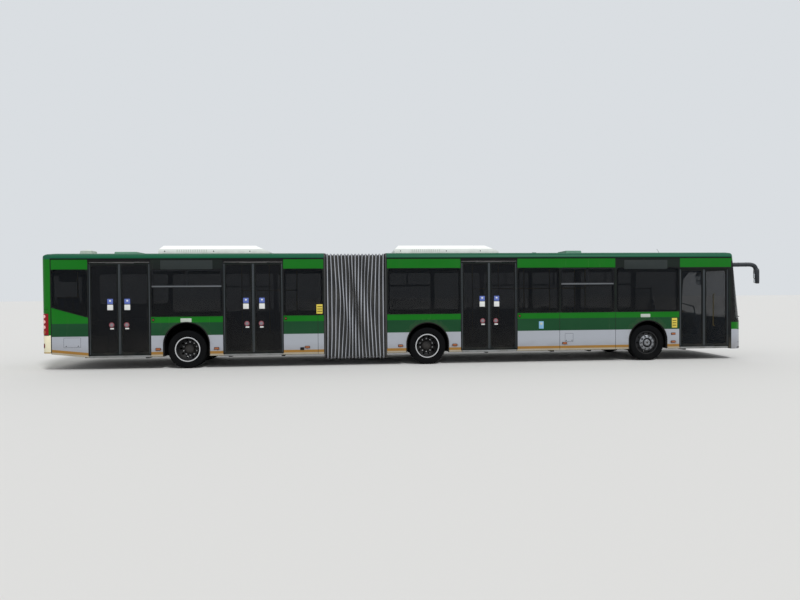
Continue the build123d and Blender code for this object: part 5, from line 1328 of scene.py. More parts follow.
# hatch rows are body, X, half length, half width, height, shade
HATCHES = [
    (FRONT, FRONT_HATCH, 0.24, 0.35, 0.097, 0),
    (REAR, TAIL_HATCH, 0.165, 0.2, 0.129, 1),
    (REAR, REAR_HATCH, 0.295, 0.4, 0.08, 0),
]
for body, unit_rear in ((FRONT, FRONT_UNIT_REAR), (REAR, REAR_UNIT_REAR)):
    fittings = Form()
    ground = roof_face(ROOF_HIGH)
    for x, length, width, height, shade in on_body(HATCHES, body):
        lean = height * math.tan(math.radians(HATCH_LEAN))
        lid = roof_face(ROOF_HIGH + height)
        fittings.surround(ground, (x, 0), (length + 0.03, width + 0.03), -0.004, HATCH_FOOT, shade)
        half = (length - lean - 0.002, width - lean - 0.002)
        fittings.plate(lid, (x, 0), half, 0.035, -0.006, 0.008, 0.008, shade)
        for y in (-0.5 * width, 0, 0.5 * width):
            fittings.plate(lid, (x, y), (length - lean - 0.06, 0.018), 0.012, -0.002, 0.014, 0.006, shade)
        for y in (-0.6 * width, 0.6 * width):
            fittings.box((x - length - 0.045, y - 0.03, ROOF_HIGH - 0.002),
                         (x - length + 0.01, y + 0.03, ROOF_HIGH + 0.026), 0.004, 2)
    middle = unit_rear + UNIT_LENGTH / 2
    for x in (middle - 0.72, middle + 0.52):
        for y in (-0.36, 0.36):
            fittings.turned([(-0.006, 0.235), (0.004, 0.235), (0.006, 0.228), (0.006, 0.215), (-0.006, 0.212)],
                            (x, y, UNIT_TOP), (0, 0, 1), 48, 2)
            fittings.turned([(-0.004, 0.214), (-0.002, 0.214), (-0.002, 0.001), (-0.004, 0.001)],
                            (x, y, UNIT_TOP + 0.003), (0, 0, 1), 48, 3, looped=False)
            for radius in (0.06, 0.1, 0.14, 0.18):
                low, high = radius - 0.003, radius + 0.003
                fittings.turned([(0.001, low), (0.006, low), (0.006, high), (0.001, high)],
                                (x, y, UNIT_TOP), (0, 0, 1), 40, 2)
            for angle in np.linspace(0, np.pi, 4, endpoint=False):
                reach = np.array([math.cos(angle), math.sin(angle), 0]) * 0.222
                spot = np.array([x, y, UNIT_TOP + 0.003])
                fittings.pipe([spot - reach, spot, spot + reach], 0.003, 2, 6)
    for x in (unit_rear + 0.62, unit_rear + 1.46, unit_rear + 2.1):
        fittings.box((x - 0.004, -UNIT_HALF + 0.088, UNIT_TOP - 0.004),
                     (x + 0.004, UNIT_HALF - 0.088, UNIT_TOP + 0.0012), 0.001, 2)
    for side in (-1, 1):
        for n in range(LOUVRES):
            x = unit_rear + 0.45 + n * 0.055
            fittings.box((x, side * (UNIT_HALF - 0.001), ROOF_HIGH + 0.03),
                         (x + 0.03, side * (UNIT_HALF + 0.003), ROOF_HIGH + 0.1), 0.002, 1)
        for x in (unit_rear + 0.16, unit_rear + 1.36, unit_rear + 2.26):
            fittings.knob([(0, 0.014), (0.004, 0.014), (0.006, 0.01)],
                          (x, side * (UNIT_HALF - 0.001), ROOF_HIGH + 0.06), (0, side, 0), 16, 2)
    if body == FRONT:
        fittings.turned([(0, 0.001), (0, 0.045), (0.012, 0.042), (0.035, 0.026), (0.058, 0.01), (0.06, 0.001)],
                        (FRONT_AXLE - 2.735, -0.25, ROOF_HIGH), (0, 0, 1), 24, 3, looped=False)
        fittings.pipe([(FRONT_AXLE + 1.2, 0.3, ROOF_HIGH), (FRONT_AXLE + 1.16, 0.3, ROOF_HIGH + 0.1),
                       (FRONT_AXLE + 1.1, 0.3, ROOF_HIGH + 0.19)], 0.004, 3, 8)
    else:
        fittings.turned([(0.128, 0.001), (0.128, 0.11), (0.14, 0.105), (0.16, 0.08), (0.172, 0.035), (0.174, 0.001)],
                        (TAIL_HATCH, 0, ROOF_HIGH), (0, 0, 1), 32, 1, looped=False)
    fittings.made(body + "_roof_fittings", body, "white_cover", [hatch_grey, hatch_white, grille_black, rubber])


# Front: one bonded windscreen in a black border, two long wipers parked along its foot, a blank destination panel
# behind the glass, clear-covered headlamps, fog lamps in the bumper and a bare plate.
FRONT_BELT = 0.98
FRONT_LEAN = 0.255
FRONT_CORNERS = (0.3, 0.11)
FRONT_BOW = 0.07
SCREEN_LOW = 1.01
HEADLAMP_HALF = (0.177, 0.098)
SCREEN_STOP = FRONT_MASK + 0.055


def end_face(s, z, out, tip, bulge, corner, facing):
    """A point on an end's skin: s metres round a bow from the middle, then round the corner, at height z.

    The bow is a circle through the tip that bulges by so much, the corner a circle inside it. Past the corner the
    skin runs straight along the side. facing is 1 at the front and -1 at the rear.
    """
    s, z = np.broadcast_arrays(np.asarray(s, float), np.asarray(z, float))
    bow = (SKIN**2 + bulge**2) / (2 * bulge)
    y_corner = SKIN - corner
    turn = np.arcsin(y_corner / (bow - corner))
    middle = tip - facing * bow
    x_corner = middle + facing * (bow - corner) * np.cos(turn)
    reach = np.abs(s)
    on_bow = reach < bow * turn
    angle = np.where(on_bow, reach / bow, turn + (reach - bow * turn) / corner)
    past = np.maximum(angle - np.pi / 2, 0) * corner
    angle = np.minimum(angle, np.pi / 2)
    on_corner = x_corner + facing * ((corner + out) * np.cos(angle) - past)
    x = np.where(on_bow, middle + facing * (bow + out) * np.cos(angle), on_corner)
    y = np.where(on_bow, (bow + out) * np.sin(angle), y_corner + (corner + out) * np.sin(angle))
    return np.stack((x, np.sign(s) * y, z), -1)


def front_face(s, z, out):
    """A point on the front mask. Above the belt its tip leans back and its corner grows tighter, both evenly."""
    up = np.maximum(np.asarray(z, float) - FRONT_BELT, 0)
    tip = FRONT_TIP - FRONT_LEAN * up / (WALL_TOP - FRONT_BELT)
    low, high = FRONT_CORNERS
    corner = low + (high - low) * up / (ROOF_HIGH - FRONT_BELT)
    return end_face(s, z, out, tip, FRONT_BOW, corner, 1)


def screen_side(z):
    """How far round the glass reaches at a height: to where the corner's circle meets the screen's rear edge."""
    trial = np.linspace(0.9, 1.6, 300)
    x = front_face(trial[None, :], np.asarray(z, float)[:, None], 0.0)[..., 0]
    return trial[np.argmin(np.abs(x - SCREEN_STOP), axis=1)]


def screen_line(inset):
    """The windscreen's outline, drawn in: along its foot, up its left edge, back along its top and down again."""
    across = np.linspace(-1, 1, 41)
    upward = np.linspace(SCREEN_LOW + inset, SCREEN_TOP - inset, 24)
    side = screen_side(upward) - inset
    foot = np.stack((across * side[0], np.full(41, upward[0])), -1)
    left = np.stack((side, upward), -1)[1:-1]
    top = foot * [1, 0] * side[-1] / side[0] + [0, upward[-1]]
    return np.concatenate((foot, left, top[::-1], (left * [-1, 1])[::-1]))


frit_black = worn("frit_black", (10, 12, 14), 0.16, share=0.12, gloss=0.12)
display_black = Finish("display_black", seen(16, 16, 18), 0.3)
dots = display_black.rise(display_black.cells((70, 70, 70)), 0.2, 0.3, 1.0, 0.0)
display_black.colour(display_black.mix(dots, seen(16, 16, 18), seen(40, 36, 28)))
wiper_black = worn("wiper_black", (26, 27, 28), 0.5, share=0.2)
lens_clear = Finish("lens_clear", seen(214, 220, 224), 0.06, Alpha=0.22, gloss=0.5)
lens_clear.smeared(8, 4, 0.4, 0.9, 0.05, 0.16)
lamp_bright = worn("lamp_reflector", (206, 208, 210), 0.14, share=0.05, Metallic=0.85)
lamp_dark = worn("lamp_housing", (34, 36, 38), 0.35, share=0.1)
plate_white = worn("bare_plate", (206, 206, 198), 0.4, share=0.25, low=(0.3, 0.9))
bumper_black = worn("bumper_black", (28, 29, 31), 0.6, share=0.3)

front_trim = Form()
front_trim.frame(front_face, screen_line, -0.004,
                 [(-0.01, 0.0015), (-0.004, 0.003), (0.006, 0.003), (0.012, 0.0005), (0.014, -0.004)])
front_trim.frame(front_face, screen_line, -0.0025, [(0.01, -0.0008), (0.075, -0.0008), (0.08, -0.0025)], 1)
for side in (-1, 1):
    pivot = front_face(side * 0.34, 1.0, 0.03)
    front_trim.turned([(-0.03, 0.03), (0.004, 0.03), (0.012, 0.022), (0.012, CLOSED), (-0.03, CLOSED)],
                      pivot, (1, side * 0.03, 0.1), 24, 2, looped=False)
    out = np.array([0.04, 0.042, 0.034, 0.024])
    arm = front_face(side * np.array([0.34, 0.5, 0.68, 0.8]), [1.0, 1.05, 1.105, 1.13], out)
    front_trim.pipe(bend(arm, 0.05), 0.009, 2, 8)
    along = side * np.linspace(0.32, 1.16, 30)
    high = 1.115 + 0.02 * (np.abs(along) - 0.32)
    front_trim.bar(front_face, along, ((high - 0.01, 0.0035), (high - 0.01, 0.018), (high + 0.01, 0.022),
                                       (high + 0.01, 0.0035)), 2)
# strip rows are height, half length, half width, level, shade
for z, half, thick, out, shade in ((BUMPER_TOP, 1.33, 0.006, 0.0012, 2), (0.455, 1.33, 0.004, 0.0012, 2),
                                   (0.318, 1.33, 0.016, 0.004, 4), (0.95, 1.0, 0.004, 0.0012, 2)):
    front_trim.strip(front_face, np.linspace(-half, half, 80), z, thick, out, shade)
front_trim.plate(front_face, (0, 0.56), (0.265, 0.058), 0.008, -0.03, 0.012, 0.003, 2)
front_trim.plate(front_face, (0, 0.56), (0.258, 0.051), 0.006, 0.008, 0.0135, 0.001, 3)
front_trim.surround(front_face, (0, 0.4), (0.06, 0.045), -0.003,
                    [(0, 0.02, 0.003), (0.006, 0.016, 0.004), (0.012, 0.012, 0.001)], 4)
for side in (-1, 1):
    fog = (side * 0.78, 0.4)
    front_trim.surround(front_face, fog, (0.1, 0.05), -0.004,
                        [(0, 0.03, 0.004), (0.008, 0.026, 0.006), (0.016, 0.02, 0.002)], 4)
    front_trim.plate(front_face, fog, (0.086, 0.036), 0.018, -0.003, 0.0015, 0.001, 4)
    front_trim.turned([(-0.002, 0.03), (0.006, 0.028), (0.01, 0.02), (0.012, CLOSED), (-0.002, CLOSED)],
                      front_face(side * 0.8, 0.4, 0.001), (1, side * 0.06, 0), 32, 5, looped=False)
    for z in (0.865, 0.905):
        front_trim.plate(front_face, (side * 0.55, z), (0.3, 0.006), 0.004, -0.002, 0.0025, 0.001, 2)
front_trim.made("front_trim", FRONT, "dark_plastic",
                [rubber, frit_black, wiper_black, plate_white, bumper_black, lamp_bright])

display = Form()
display.plate(front_face, (0, 2.48), (0.86, 0.095), 0.01, -0.15, -0.08, 0.004, 0)
display.surround(front_face, (0, 2.48), (0.88, 0.108), -0.15,
                 [(0, 0.02, -0.07), (0.012, 0.015, -0.07), (0.02, 0.012, -0.08)], 1)
display.made("destination_panel", FRONT, "dark_plastic", [display_black, lamp_dark])

headlamps = Form()
for side in (-1, 1):
    middle = (side * 0.96, 0.62)
    headlamps.plate(front_face, middle, HEADLAMP_HALF, 0.012, -0.0385, -0.034, 0.001, 1)
    headlamps.surround(front_face, middle, HEADLAMP_HALF, -0.036,
                       [(0, 0.012, -0.003), (0.004, 0.01, -0.002), (0.008, 0.008, -0.004)], 1)
    headlamps.plate(front_face, middle, (0.17, 0.091), 0.008, -0.007, -0.0025, 0.002, 0)
    for s, radius in ((0.862, 0.066), (0.99, 0.054)):
        spot = front_face(side * s, 0.625, -0.03)
        facing = front_face(side * s, 0.625, 0.0) - spot
        dish = [(0, radius), (0.018, radius), (0.02, radius - 0.004), (0.01, radius - 0.014), (0.003, radius * 0.45),
                (0, radius * 0.4)]
        bulb = [(0.002, 0.001), (0.002, radius * 0.45), (0.014, radius * 0.4), (0.019, radius * 0.22), (0.02, 0.001)]
        headlamps.turned(dish, spot, facing, 48, 2)
        headlamps.turned(bulb, spot, facing, 32, 3, looped=False)
    headlamps.plate(front_face, (side * 1.086, 0.62), (0.036, 0.078), 0.014, -0.034, -0.016, 0.006, 4)
finishes = [lens_clear, lamp_dark, lamp_bright, lens_clear, marker_orange]
headlamps.made("headlamps_made", FRONT, "lamp_clear", finishes, ["headlamps"])


# Rear: a bonded window, a lift-up flap over the engine with slots on the left, upright red lamps round the corners,
# a high brake lamp, a bare plate, and a pale bumper with a dark round reflector recess low on each corner. The three
# upper round lenses in each red lamp are pink-white painted highlights.
REAR_BOW = 0.03
REAR_CORNER = 0.15
REAR_WINDOW = (0, 1.98)
REAR_WINDOW_HALF = (0.96, 0.42)
FLAP_PLATE = (-0.46, 0.7)


def rear_face(s, z, out):
    """A point on the upright rear mask."""
    return end_face(s, z, out, REAR_TIP, REAR_BOW, REAR_CORNER, -1)


lamp_red = worn("lamp_red_lens", (136, 14, 22), 0.3, share=0.06, low=(0.8, 1.0), grain=(300, 0.0003), gloss=0.2)
lamp_painted_highlight = worn("lamp_spot_lens", (240, 190, 186), 0.22, share=0.04, grain=(300, 0.0003), gloss=0.3)
slot_black = worn("slot_black", (14, 15, 16), 0.7, share=0.3)

rear_trim = Form()
rear_trim.surround(rear_face, REAR_WINDOW, REAR_WINDOW_HALF, -0.004,
                   [(-0.008, 0.03, 0.001), (0, 0.026, 0.0018), (0.012, 0.02, 0.0012), (0.014, 0.018, -0.004)], 0, 200)
rear_trim.surround(rear_face, REAR_WINDOW, REAR_WINDOW_HALF, -0.0025,
                   [(0.008, 0.02, 0.001), (0.078, 0.05, 0.001), (0.082, 0.05, -0.0025)], 1, 200)
rear_trim.plate(rear_face, (0, 2.475), (0.19, 0.022), 0.01, -0.004, 0.012, 0.004, 2)
rear_trim.surround(rear_face, (0, 2.475), (0.204, 0.034), -0.003,
                   [(0, 0.016, 0.008), (0.006, 0.013, 0.01), (0.014, 0.01, 0.006)])
rear_trim.plate(rear_face, (0, 2.27), (0.42, 0.085), 0.01, -0.09, -0.04, 0.004, 3)
for z in (0.858, 1.5):
    for side in (-1, 1):
        rear_trim.strip(rear_face, side * np.linspace(1.052, 1.385, 26), z, 0.0035, 0.001)
for side in (-1, 1):
    rear_trim.plate(rear_face, (side * 1.245, 0.61), (0.038, 0.06), 0.036, -0.01, 0.003, 0.002)
    rear_trim.plate(rear_face, (side * 1.245, 0.61), (0.026, 0.044), 0.024, 0.001, 0.0045, 0.001, 2)
    rear_trim.box((REAR_MASK - 0.0125, side * (SKIN - 0.02), 0.432),
                  (REAR_MASK + 0.0015, side * (SKIN + 0.0012), WALL_TOP + 0.02), 0.001)
    rear_trim.plate(rear_face, (side * 0.56, 0.461), (0.18, 0.018), 0.01, -0.003, 0.004, 0.002)
rear_trim.made("rear_trim", REAR, "dark_plastic", [rubber, frit_black, lamp_red, display_black])

RIM_STEPS = ((1, -0.004), (1, 0.003), (0.96, 0.0042), (0.9, 0.0042), (0.86, 0.003), (0.4, 0.0028), (0.02, 0.0028))
SPOT_STEPS = ((1, -0.002), (1, 0.004), (0.95, 0.0056), (0.75, 0.0066), (0.5, 0.0072), (0.25, 0.0075), (0.02, 0.0076))
tail_lamps = Form()
for side in (-1, 1):
    middle = (side * 1.2515, 1.13)
    tail_lamps.plate(rear_face, middle, (0.128, 0.262), 0.01, -0.036, -0.01, 0.004, 1)
    round_s, up_z = np.meshgrid(side * np.linspace(1.1275, 1.3755, 25), np.linspace(0.872, 1.388, 5))
    lens = rear_face(round_s, up_z, 0.0015)
    tail_lamps.sheet(lens, rear_face(round_s, up_z, -0.01) - lens, 0)
    # painted highlights: the three upper round lenses are pink-white glints; the lowest is the orange indicator
    for z, shade in ((1.325, 2), (1.195, 2), (1.065, 2), (0.94, 3)):
        for half, steps, finish in (((0.068, 0.048), RIM_STEPS, 0), ((0.06, 0.04), SPOT_STEPS, shade)):
            outline = finely(rounded(*half, half[1] - 0.001), 48)
            rings = []
            for share, level in steps:
                line = outline * share + [side * 1.25, z]
                rings.append(rear_face(line[:, 0], line[:, 1], level))
            tail_lamps.skin(rings, finish)
tail_lamps.made("tail_lamps_made", REAR, "lamp_red", [lamp_red, lamp_dark, lamp_painted_highlight, marker_orange], ["tail_lamps"])

flap = Form()
for row in range(11):
    z = 0.64 + row * 0.066
    for low_s, high_s in ((0.12, 0.5), (0.55, 0.93)):
        middle = ((low_s + high_s) / 2, z)
        half = ((high_s - low_s) / 2, 0.022)
        flap.plate(rear_face, middle, half, 0.01, -0.004, 0.0008, 0.0005, 0)
        flap.plate(rear_face, (middle[0], z + 0.016), (half[0], 0.009), 0.006, -0.002, 0.009, 0.004, 1)
for s in (-0.95, 0.95):
    flap.plate(rear_face, (s, 0.545), (0.03, 0.018), 0.008, -0.002, 0.006, 0.003, 2)
    flap.turned([(0, 0.011), (0.004, 0.011), (0.005, 0.008), (0.005, 0.001), (0, 0.001)],
                rear_face(s, 0.545, 0.005), (-1, 0, 0), 20, 3)
flap.plate(rear_face, (0, 0.535), (0.11, 0.02), 0.012, -0.004, 0.002, 0.001, 0)
flap.plate(rear_face, FLAP_PLATE, (0.27, 0.064), 0.008, -0.003, 0.005, 0.002, 2)
flap.plate(rear_face, FLAP_PLATE, (0.262, 0.057), 0.006, 0.002, 0.0062, 0.001, 4)
for s in (-0.62, -0.3):
    flap.box(rear_face(s - 0.02, 0.775, -0.002), rear_face(s + 0.02, 0.795, 0.022), 0.004, 2)
flap.plate(rear_face, (-0.46, 1.17), (0.36, 0.004), 0.003, -0.003, 0.001, 0.0005, 0)
for side in (-1, 1):
    s = side * 0.23
    for offset in (-0.035, 0.035):
        flap.plate(rear_face, (s + offset, 1.388), (0.012, 0.022), 0.004, -0.002, 0.003, 0.001, 3)
finishes = [slot_black, rear_mask_paint, lamp_dark, bare_aluminium, plate_white]
flap.made("flap_fittings", "engine_flap", "dark_plastic", finishes)


# Floors: plywood plates on black steel rails, covered with speckled grey studded sheet turned up over the wheel
# boxes. Below the plates and inside the arches everything is black underseal, painted near-black so that it also
# stands for the shade under the floor and up in the arches.
cover = Finish("floor_cover", seen(74, 78, 84), 0.6, gloss=0.1)
flecks = cover.rise(cover.cloud(160, 2), 0.6, 0.66)
floor_colour = cover.mix(flecks, seen(74, 78, 84), seen(168, 172, 176))
floor_wear = cover.rise(cover.cloud(2.2, 5), 0.4, 0.8, 0.0, 0.5)
floor_colour = cover.mix(floor_wear, floor_colour, seen(96, 90, 80))
# partly painted shade: the underside and arch boxes are near-black, darker than the chassis black
underseal_and_shade = cover.rise(cover.along("Z"), FLOOR_TOP - 0.003, FLOOR_TOP - 0.002, 1.0, 0.0)
across = cover.sum("ABSOLUTE", cover.along("Y"))
# arch rows are X, half length of the box's room, its ceiling
for x, room, top in ((FRONT_AXLE, 0.59, 1.06), (MIDDLE_AXLE, 0.55, 1.072), (REAR_AXLE, 0.565, 1.147)):
    inside = cover.between(cover.along("X"), x - room - 0.004, x + room + 0.004)
    inside = cover.times(inside, cover.rise(across, 0.558, 0.562))
    inside = cover.times(inside, cover.rise(cover.along("Z"), top + 0.01, top + 0.014, 1.0, 0.0))
    underseal_and_shade = cover.most(underseal_and_shade, inside)
cover.colour(cover.mix(underseal_and_shade, floor_colour, seen(13, 13, 14)))
cover.roughness(cover.rise(underseal_and_shade, 0, 1, 0.55, 0.85))
cover.bump(cover.cloud(70, 3), 0.0006)
for node in ("front_floor", "rear_floor"):
    dressed(node, cover)


# Seats: moulded grey shells with blue fabric-finished faces, two to a pedestal, with a grab handle over each back
# and a yellow pole to the ceiling, joined by rails along the aisle.
SEAT_LENGTH = 0.43
SEAT_HIGH = 0.43
BACK_HIGH = 0.62
SEAT_GAP = 0.02
SEAT_PITCH = 0.75
INSIDE = 1.215
CEILING = 2.68
PODIUM_TOP = 0.745
POLE_IN = 0.06
HAND_RAIL_Z = 1.93
seat_shell_grey = worn("seat_shell", (92, 98, 108), 0.4, share=0.15, grain=(200, 0.0003))
seat_face = Finish("seat_face", seen(36, 62, 128), 0.85, Sheen_Weight=0.3)
weave = seat_face.cells((240, 240, 240), 0.3)
seat_face.colour(seat_face.mix(seat_face.rise(weave, 0.3, 0.7), seen(34, 56, 118), seen(70, 96, 158)))
seat_face.bump(weave, 0.0008)
pole_yellow = worn("pole_yellow", (214, 176, 48), 0.3, share=0.12, low=(0.4, 1.2))
pedestal_grey = worn("pedestal_grey", (66, 70, 76), 0.5, share=0.3, low=(0.34, 0.9))
# seat rows are body, X of the foremost pair, pairs, side, base, width
SEAT_ROWS = [
    (FRONT, FRONT_AXLE - 1.15, 5, 1, FLOOR_TOP, 0.88),
    (FRONT, FRONT_AXLE - 1.15, 2, -1, FLOOR_TOP, 0.88),
    (REAR, REAR_FRONT - 0.64, 3, 1, FLOOR_TOP, 0.88),
    (REAR, REAR_MASK + 0.03 + SEAT_LENGTH / 2 + SEAT_GAP, 1, -1, PODIUM_TOP, INSIDE - SEAT_GAP),
]


def seat_shell(width):
    """A seat's shell: a side profile carried across it, dished by a square law and narrowed towards its top."""
    profile = np.array([
        (0.203, -0.045), (0.212, -0.02), (0.2, -0.004), (0.15, -0.006), (0.05, -0.018), (-0.06, -0.022),
        (-0.12, -0.012), (-0.15, 0.02), (-0.16, 0.08), (-0.164, 0.2), (-0.168, 0.35), (-0.172, 0.48),
        (-0.176, 0.57), (-0.184, 0.604), (-0.2, 0.612), (-0.206, 0.59),
    ])
    across = np.linspace(-1, 1, 13)
    upright = np.clip((profile[:, 1] - 0.02) / 0.06, 0, 1)[:, None]
    dish = across[None] ** 2
    narrow = 1 - 0.1 * np.clip((profile[:, 1] - 0.35) / 0.26, 0, 1)[:, None] ** 2 * np.ones_like(dish)
    x = profile[:, 0, None] + 0.016 * dish * upright * (profile[:, 1, None] < 0.6)
    z = profile[:, 1, None] + 0.014 * dish * (1 - upright) * (profile[:, 1, None] > -0.03)
    grid = np.stack((x, across[None] * width / 2 * narrow, z), -1)
    thick = np.stack((-0.01 * upright, 0 * upright, -0.01 * (1 - upright)), -1)
    return grid, thick


for body in BODY_PARTS:
    seats = Form()
    faces = Form()
    for foremost, pairs, side, base, width in on_body(SEAT_ROWS, body):
        places = max(2, round(width / 0.4))
        each = width / places
        pole_y = side * (INSIDE - SEAT_GAP - width + POLE_IN)
        for n in range(pairs):
            x = foremost - n * SEAT_PITCH
            top = base + SEAT_HIGH
            outer = side * (INSIDE - SEAT_GAP)
            seats.box((x - 0.105, outer - side * 0.01, base),
                      (x + 0.105, outer - side * (width - 0.02), top - 0.05), 0.012, 1)
            seats.box((x - 0.19, outer - side * 0.004, top - 0.058),
                      (x + 0.19, outer - side * (width - 0.006), top - 0.034), 0.008, 1)
            for m in range(places):
                y = outer - side * (m + 0.5) * each
                grid, thick = seat_shell(each - 0.014)
                seats.sheet(grid + [x, y, top], thick, 0)
                face = grid[3:13, 2:-2] + [x, y, top]
                lift = np.array([0.004, 0, 0.004])
                faces.sheet(face + lift * 0.25, lift, 0)
                foot, grip = top + BACK_HIGH - 0.06, top + BACK_HIGH - 0.008
                left, right = y - each * 0.32, y + each * 0.32
                handle = [(x - 0.192, left, foot), (x - 0.192, left, grip), (x - 0.192, right, grip),
                          (x - 0.192, right, foot)]
                seats.pipe(bend(handle, 0.03), 0.0085, 2, 10)
            pole_x = x - SEAT_LENGTH / 2 + 0.03
            seats.pipe([(pole_x, pole_y, top - 0.02), (pole_x, pole_y, 1.6), (pole_x, pole_y, CEILING)], 0.016, 2, 16)
            for z in (HAND_RAIL_Z, CEILING - 0.012):
                seats.turned([(-0.014, 0.017), (-0.012, 0.023), (0.012, 0.023), (0.014, 0.017)],
                             (pole_x, pole_y, z - 0.001), (0, 0, 1), 20, 3)
        if pairs > 1:
            first = foremost - SEAT_LENGTH / 2 + 0.03
            last = first - (pairs - 1) * SEAT_PITCH
            rail = [(x, pole_y, HAND_RAIL_Z) for x in (first, (first + last) / 2, last)]
            seats.pipe(rail, 0.0155, 2, 16)
    finishes = [seat_shell_grey, pedestal_grey, pole_yellow, lamp_dark]
    seats.made(body + "_seats_made", body, "seat", finishes, [body.replace("_section", "_seats")])
    faces.made(body + "_seat_faces", body, "seat", [seat_face])


# Ceilings and walls inside: white sheet with two long light covers over the aisle's sides and a vent strip between.
ceiling_white = worn("ceiling_white", (206, 208, 204), 0.5, (150, 146, 134), 0.2, (2.4, 2.7))
light_cover = Finish("light_cover", seen(232, 234, 232), 0.3, Emission_Color=(1, 1, 1, 1), Emission_Strength=0.06)
light_cover.bump(light_cover.step("TexWave", {"Vector": light_cover.place(), "Scale": 60.0}), 0.0004)
for body, (rear, front) in BODY_PARTS.items():
    ceiling = Form()
    under = lambda u, v, w: np.stack((u, v, (CEILING - w) * np.ones_like(u)), -1)
    middle, half = (rear + front) / 2, (front - rear) / 2 - 0.25
    ceiling.plate(under, (middle, 0), (half + 0.2, 1.18), 0.05, 0.001, 0.006, 0.003, 0)
    for y in (-0.72, 0.72):
        ceiling.plate(under, (middle, y), (half, 0.085), 0.03, 0.004, 0.04, 0.02, 1)
    ceiling.plate(under, (middle, 0), (half, 0.1), 0.02, 0.004, 0.014, 0.006, 2)
    ceiling.made(body + "_ceiling", body, "interior", [ceiling_white, light_cover, pedestal_grey])


# Driver's place: a raised deck, a half-glazed screen behind it and a low one beside, a moulded dash with a hooded
# instrument panel, a leather-grained steering wheel and a sprung seat with fabric pads.
DECK_REAR = FRONT_AXLE + 0.85
DECK_FRONT = FRONT_MASK + 0.06
DECK_IN = 0.18
DECK_TOP = 0.545
DECK_SIDE = INSIDE - SEAT_GAP
DRIVER_Y = 0.72
DRIVER_X = FRONT_AXLE + 1.33
WHEEL_CENTRE = np.array([FRONT_AXLE + 1.96, DRIVER_Y, 1.13])
WHEEL_TILT = math.radians(25)
dash_grey = worn("dash_grey", (58, 62, 66), 0.6, share=0.15, grain=(420, 0.0006))
dash_black = worn("dash_black", (20, 21, 23), 0.45, share=0.1, grain=(300, 0.0003))
wheel_rim = worn("wheel_rim_grain", (22, 22, 24), 0.5, share=0.1, grain=(520, 0.0008))
screen_glass = Finish("screen_glass", seen(40, 46, 48), 0.05, Alpha=0.2)
screen_glass.smeared(6, 4, 0.4, 0.9, 0.04, 0.12)
dial_white = Finish("dial_ticks", seen(22, 23, 25), 0.2)
dial_ticks = dial_white.rise(dial_white.cells((0, 46, 46)), 0.42, 0.46)
dial_white.colour(dial_white.mix(dial_ticks, seen(22, 23, 25), seen(170, 174, 176)))
driver = Form()
driver.box((DECK_REAR, DECK_IN, FLOOR_TOP), (DECK_FRONT, DECK_SIDE, DECK_TOP), 0.006, 0)
driver.box((DECK_REAR, DECK_IN, DECK_TOP - 0.01), (DECK_REAR + 0.03, DECK_SIDE, 1.18), 0.006, 0)
driver.box((DECK_REAR + 0.004, DECK_IN + 0.02, 1.18), (DECK_REAR + 0.014, DECK_SIDE - 0.02, 1.9), 0.002, 3)
for y in (DECK_IN + 0.015, DECK_SIDE - 0.015):
    driver.box((DECK_REAR, y - 0.015, 1.17), (DECK_REAR + 0.028, y + 0.015, 1.95), 0.004, 1)
driver.box((DECK_REAR, DECK_IN, 1.895), (DECK_REAR + 0.028, DECK_SIDE, 1.925), 0.004, 1)
driver.box((DECK_REAR, DECK_IN, DECK_TOP - 0.01), (DECK_REAR + 0.98, DECK_IN + 0.03, 1.2), 0.008, 0)
driver.pipe([(DECK_REAR + x, DECK_IN + 0.015, 1.232) for x in (0.02, 0.5, 0.99)], 0.0155, 4, 14)
# dash rows are how far behind the deck's front edge, height
dash_line = np.array([
    (0, DECK_TOP), (0, 1.165), (0.01, 1.178), (0.1, 1.18), (0.15, 1.172), (0.205, 1.12), (0.228, 1.02), (0.2, 0.88),
    (0.13, 0.78), (0.11, DECK_TOP),
]) * [-1, 1] + [DECK_FRONT, 0]
stations = np.array([DECK_IN + 0.01, DECK_IN + 0.03, 0.4, 0.46, 0.98, 1.04, DECK_SIDE - 0.03, DECK_SIDE - 0.005])
hood = np.array([0, 0, 0, 1, 1, 0, 0, 0])
rings = []
for y, lift in zip(stations, hood):
    x = dash_line[:, 0] - 0.012 * (1 - lift) * (dash_line[:, 0] < DECK_FRONT - 0.12)
    z = dash_line[:, 1] - 0.05 * (1 - lift) * (dash_line[:, 1] > 0.95)
    rings.append(np.stack((np.maximum(x, DECK_FRONT - 0.23), np.full(len(x), y), z), -1))
driver.skin(rings, 0)
slope = unit([-0.62, 0, 0.78])
for y, radius in ((0.6, 0.055), (0.72, 0.04), (0.84, 0.055)):
    driver.knob([(0, radius), (0.006, radius), (0.008, radius - 0.004), (0.004, radius - 0.008)],
                (DECK_FRONT - 0.186, y, 1.146), slope, 40, 5)
for n in range(6):
    y, z = 1.06 + (n % 3) * 0.04, 1.0 + (n // 3) * 0.05
    driver.box((DECK_FRONT - 0.222, y, z), (DECK_FRONT - 0.2, y + 0.03, z + 0.032), 0.003, 1)
tilt_axis = np.array([-math.sin(WHEEL_TILT), 0, math.cos(WHEEL_TILT)])
round_angle = np.linspace(0, 2 * np.pi, 12, endpoint=False)
rim_section = np.stack((0.0145 * np.sin(round_angle), 0.23 + 0.015 * np.cos(round_angle)), -1)
driver.turned(rim_section, WHEEL_CENTRE, tilt_axis, 64, 2)
driver.turned([(-0.02, 0.001), (-0.02, 0.04), (0.004, 0.062), (0.014, 0.058), (0.016, 0.001)],
              WHEEL_CENTRE, tilt_axis, 32, 2, looped=False)
forward_in_wheel = np.array([math.cos(WHEEL_TILT), 0, math.sin(WHEEL_TILT)])
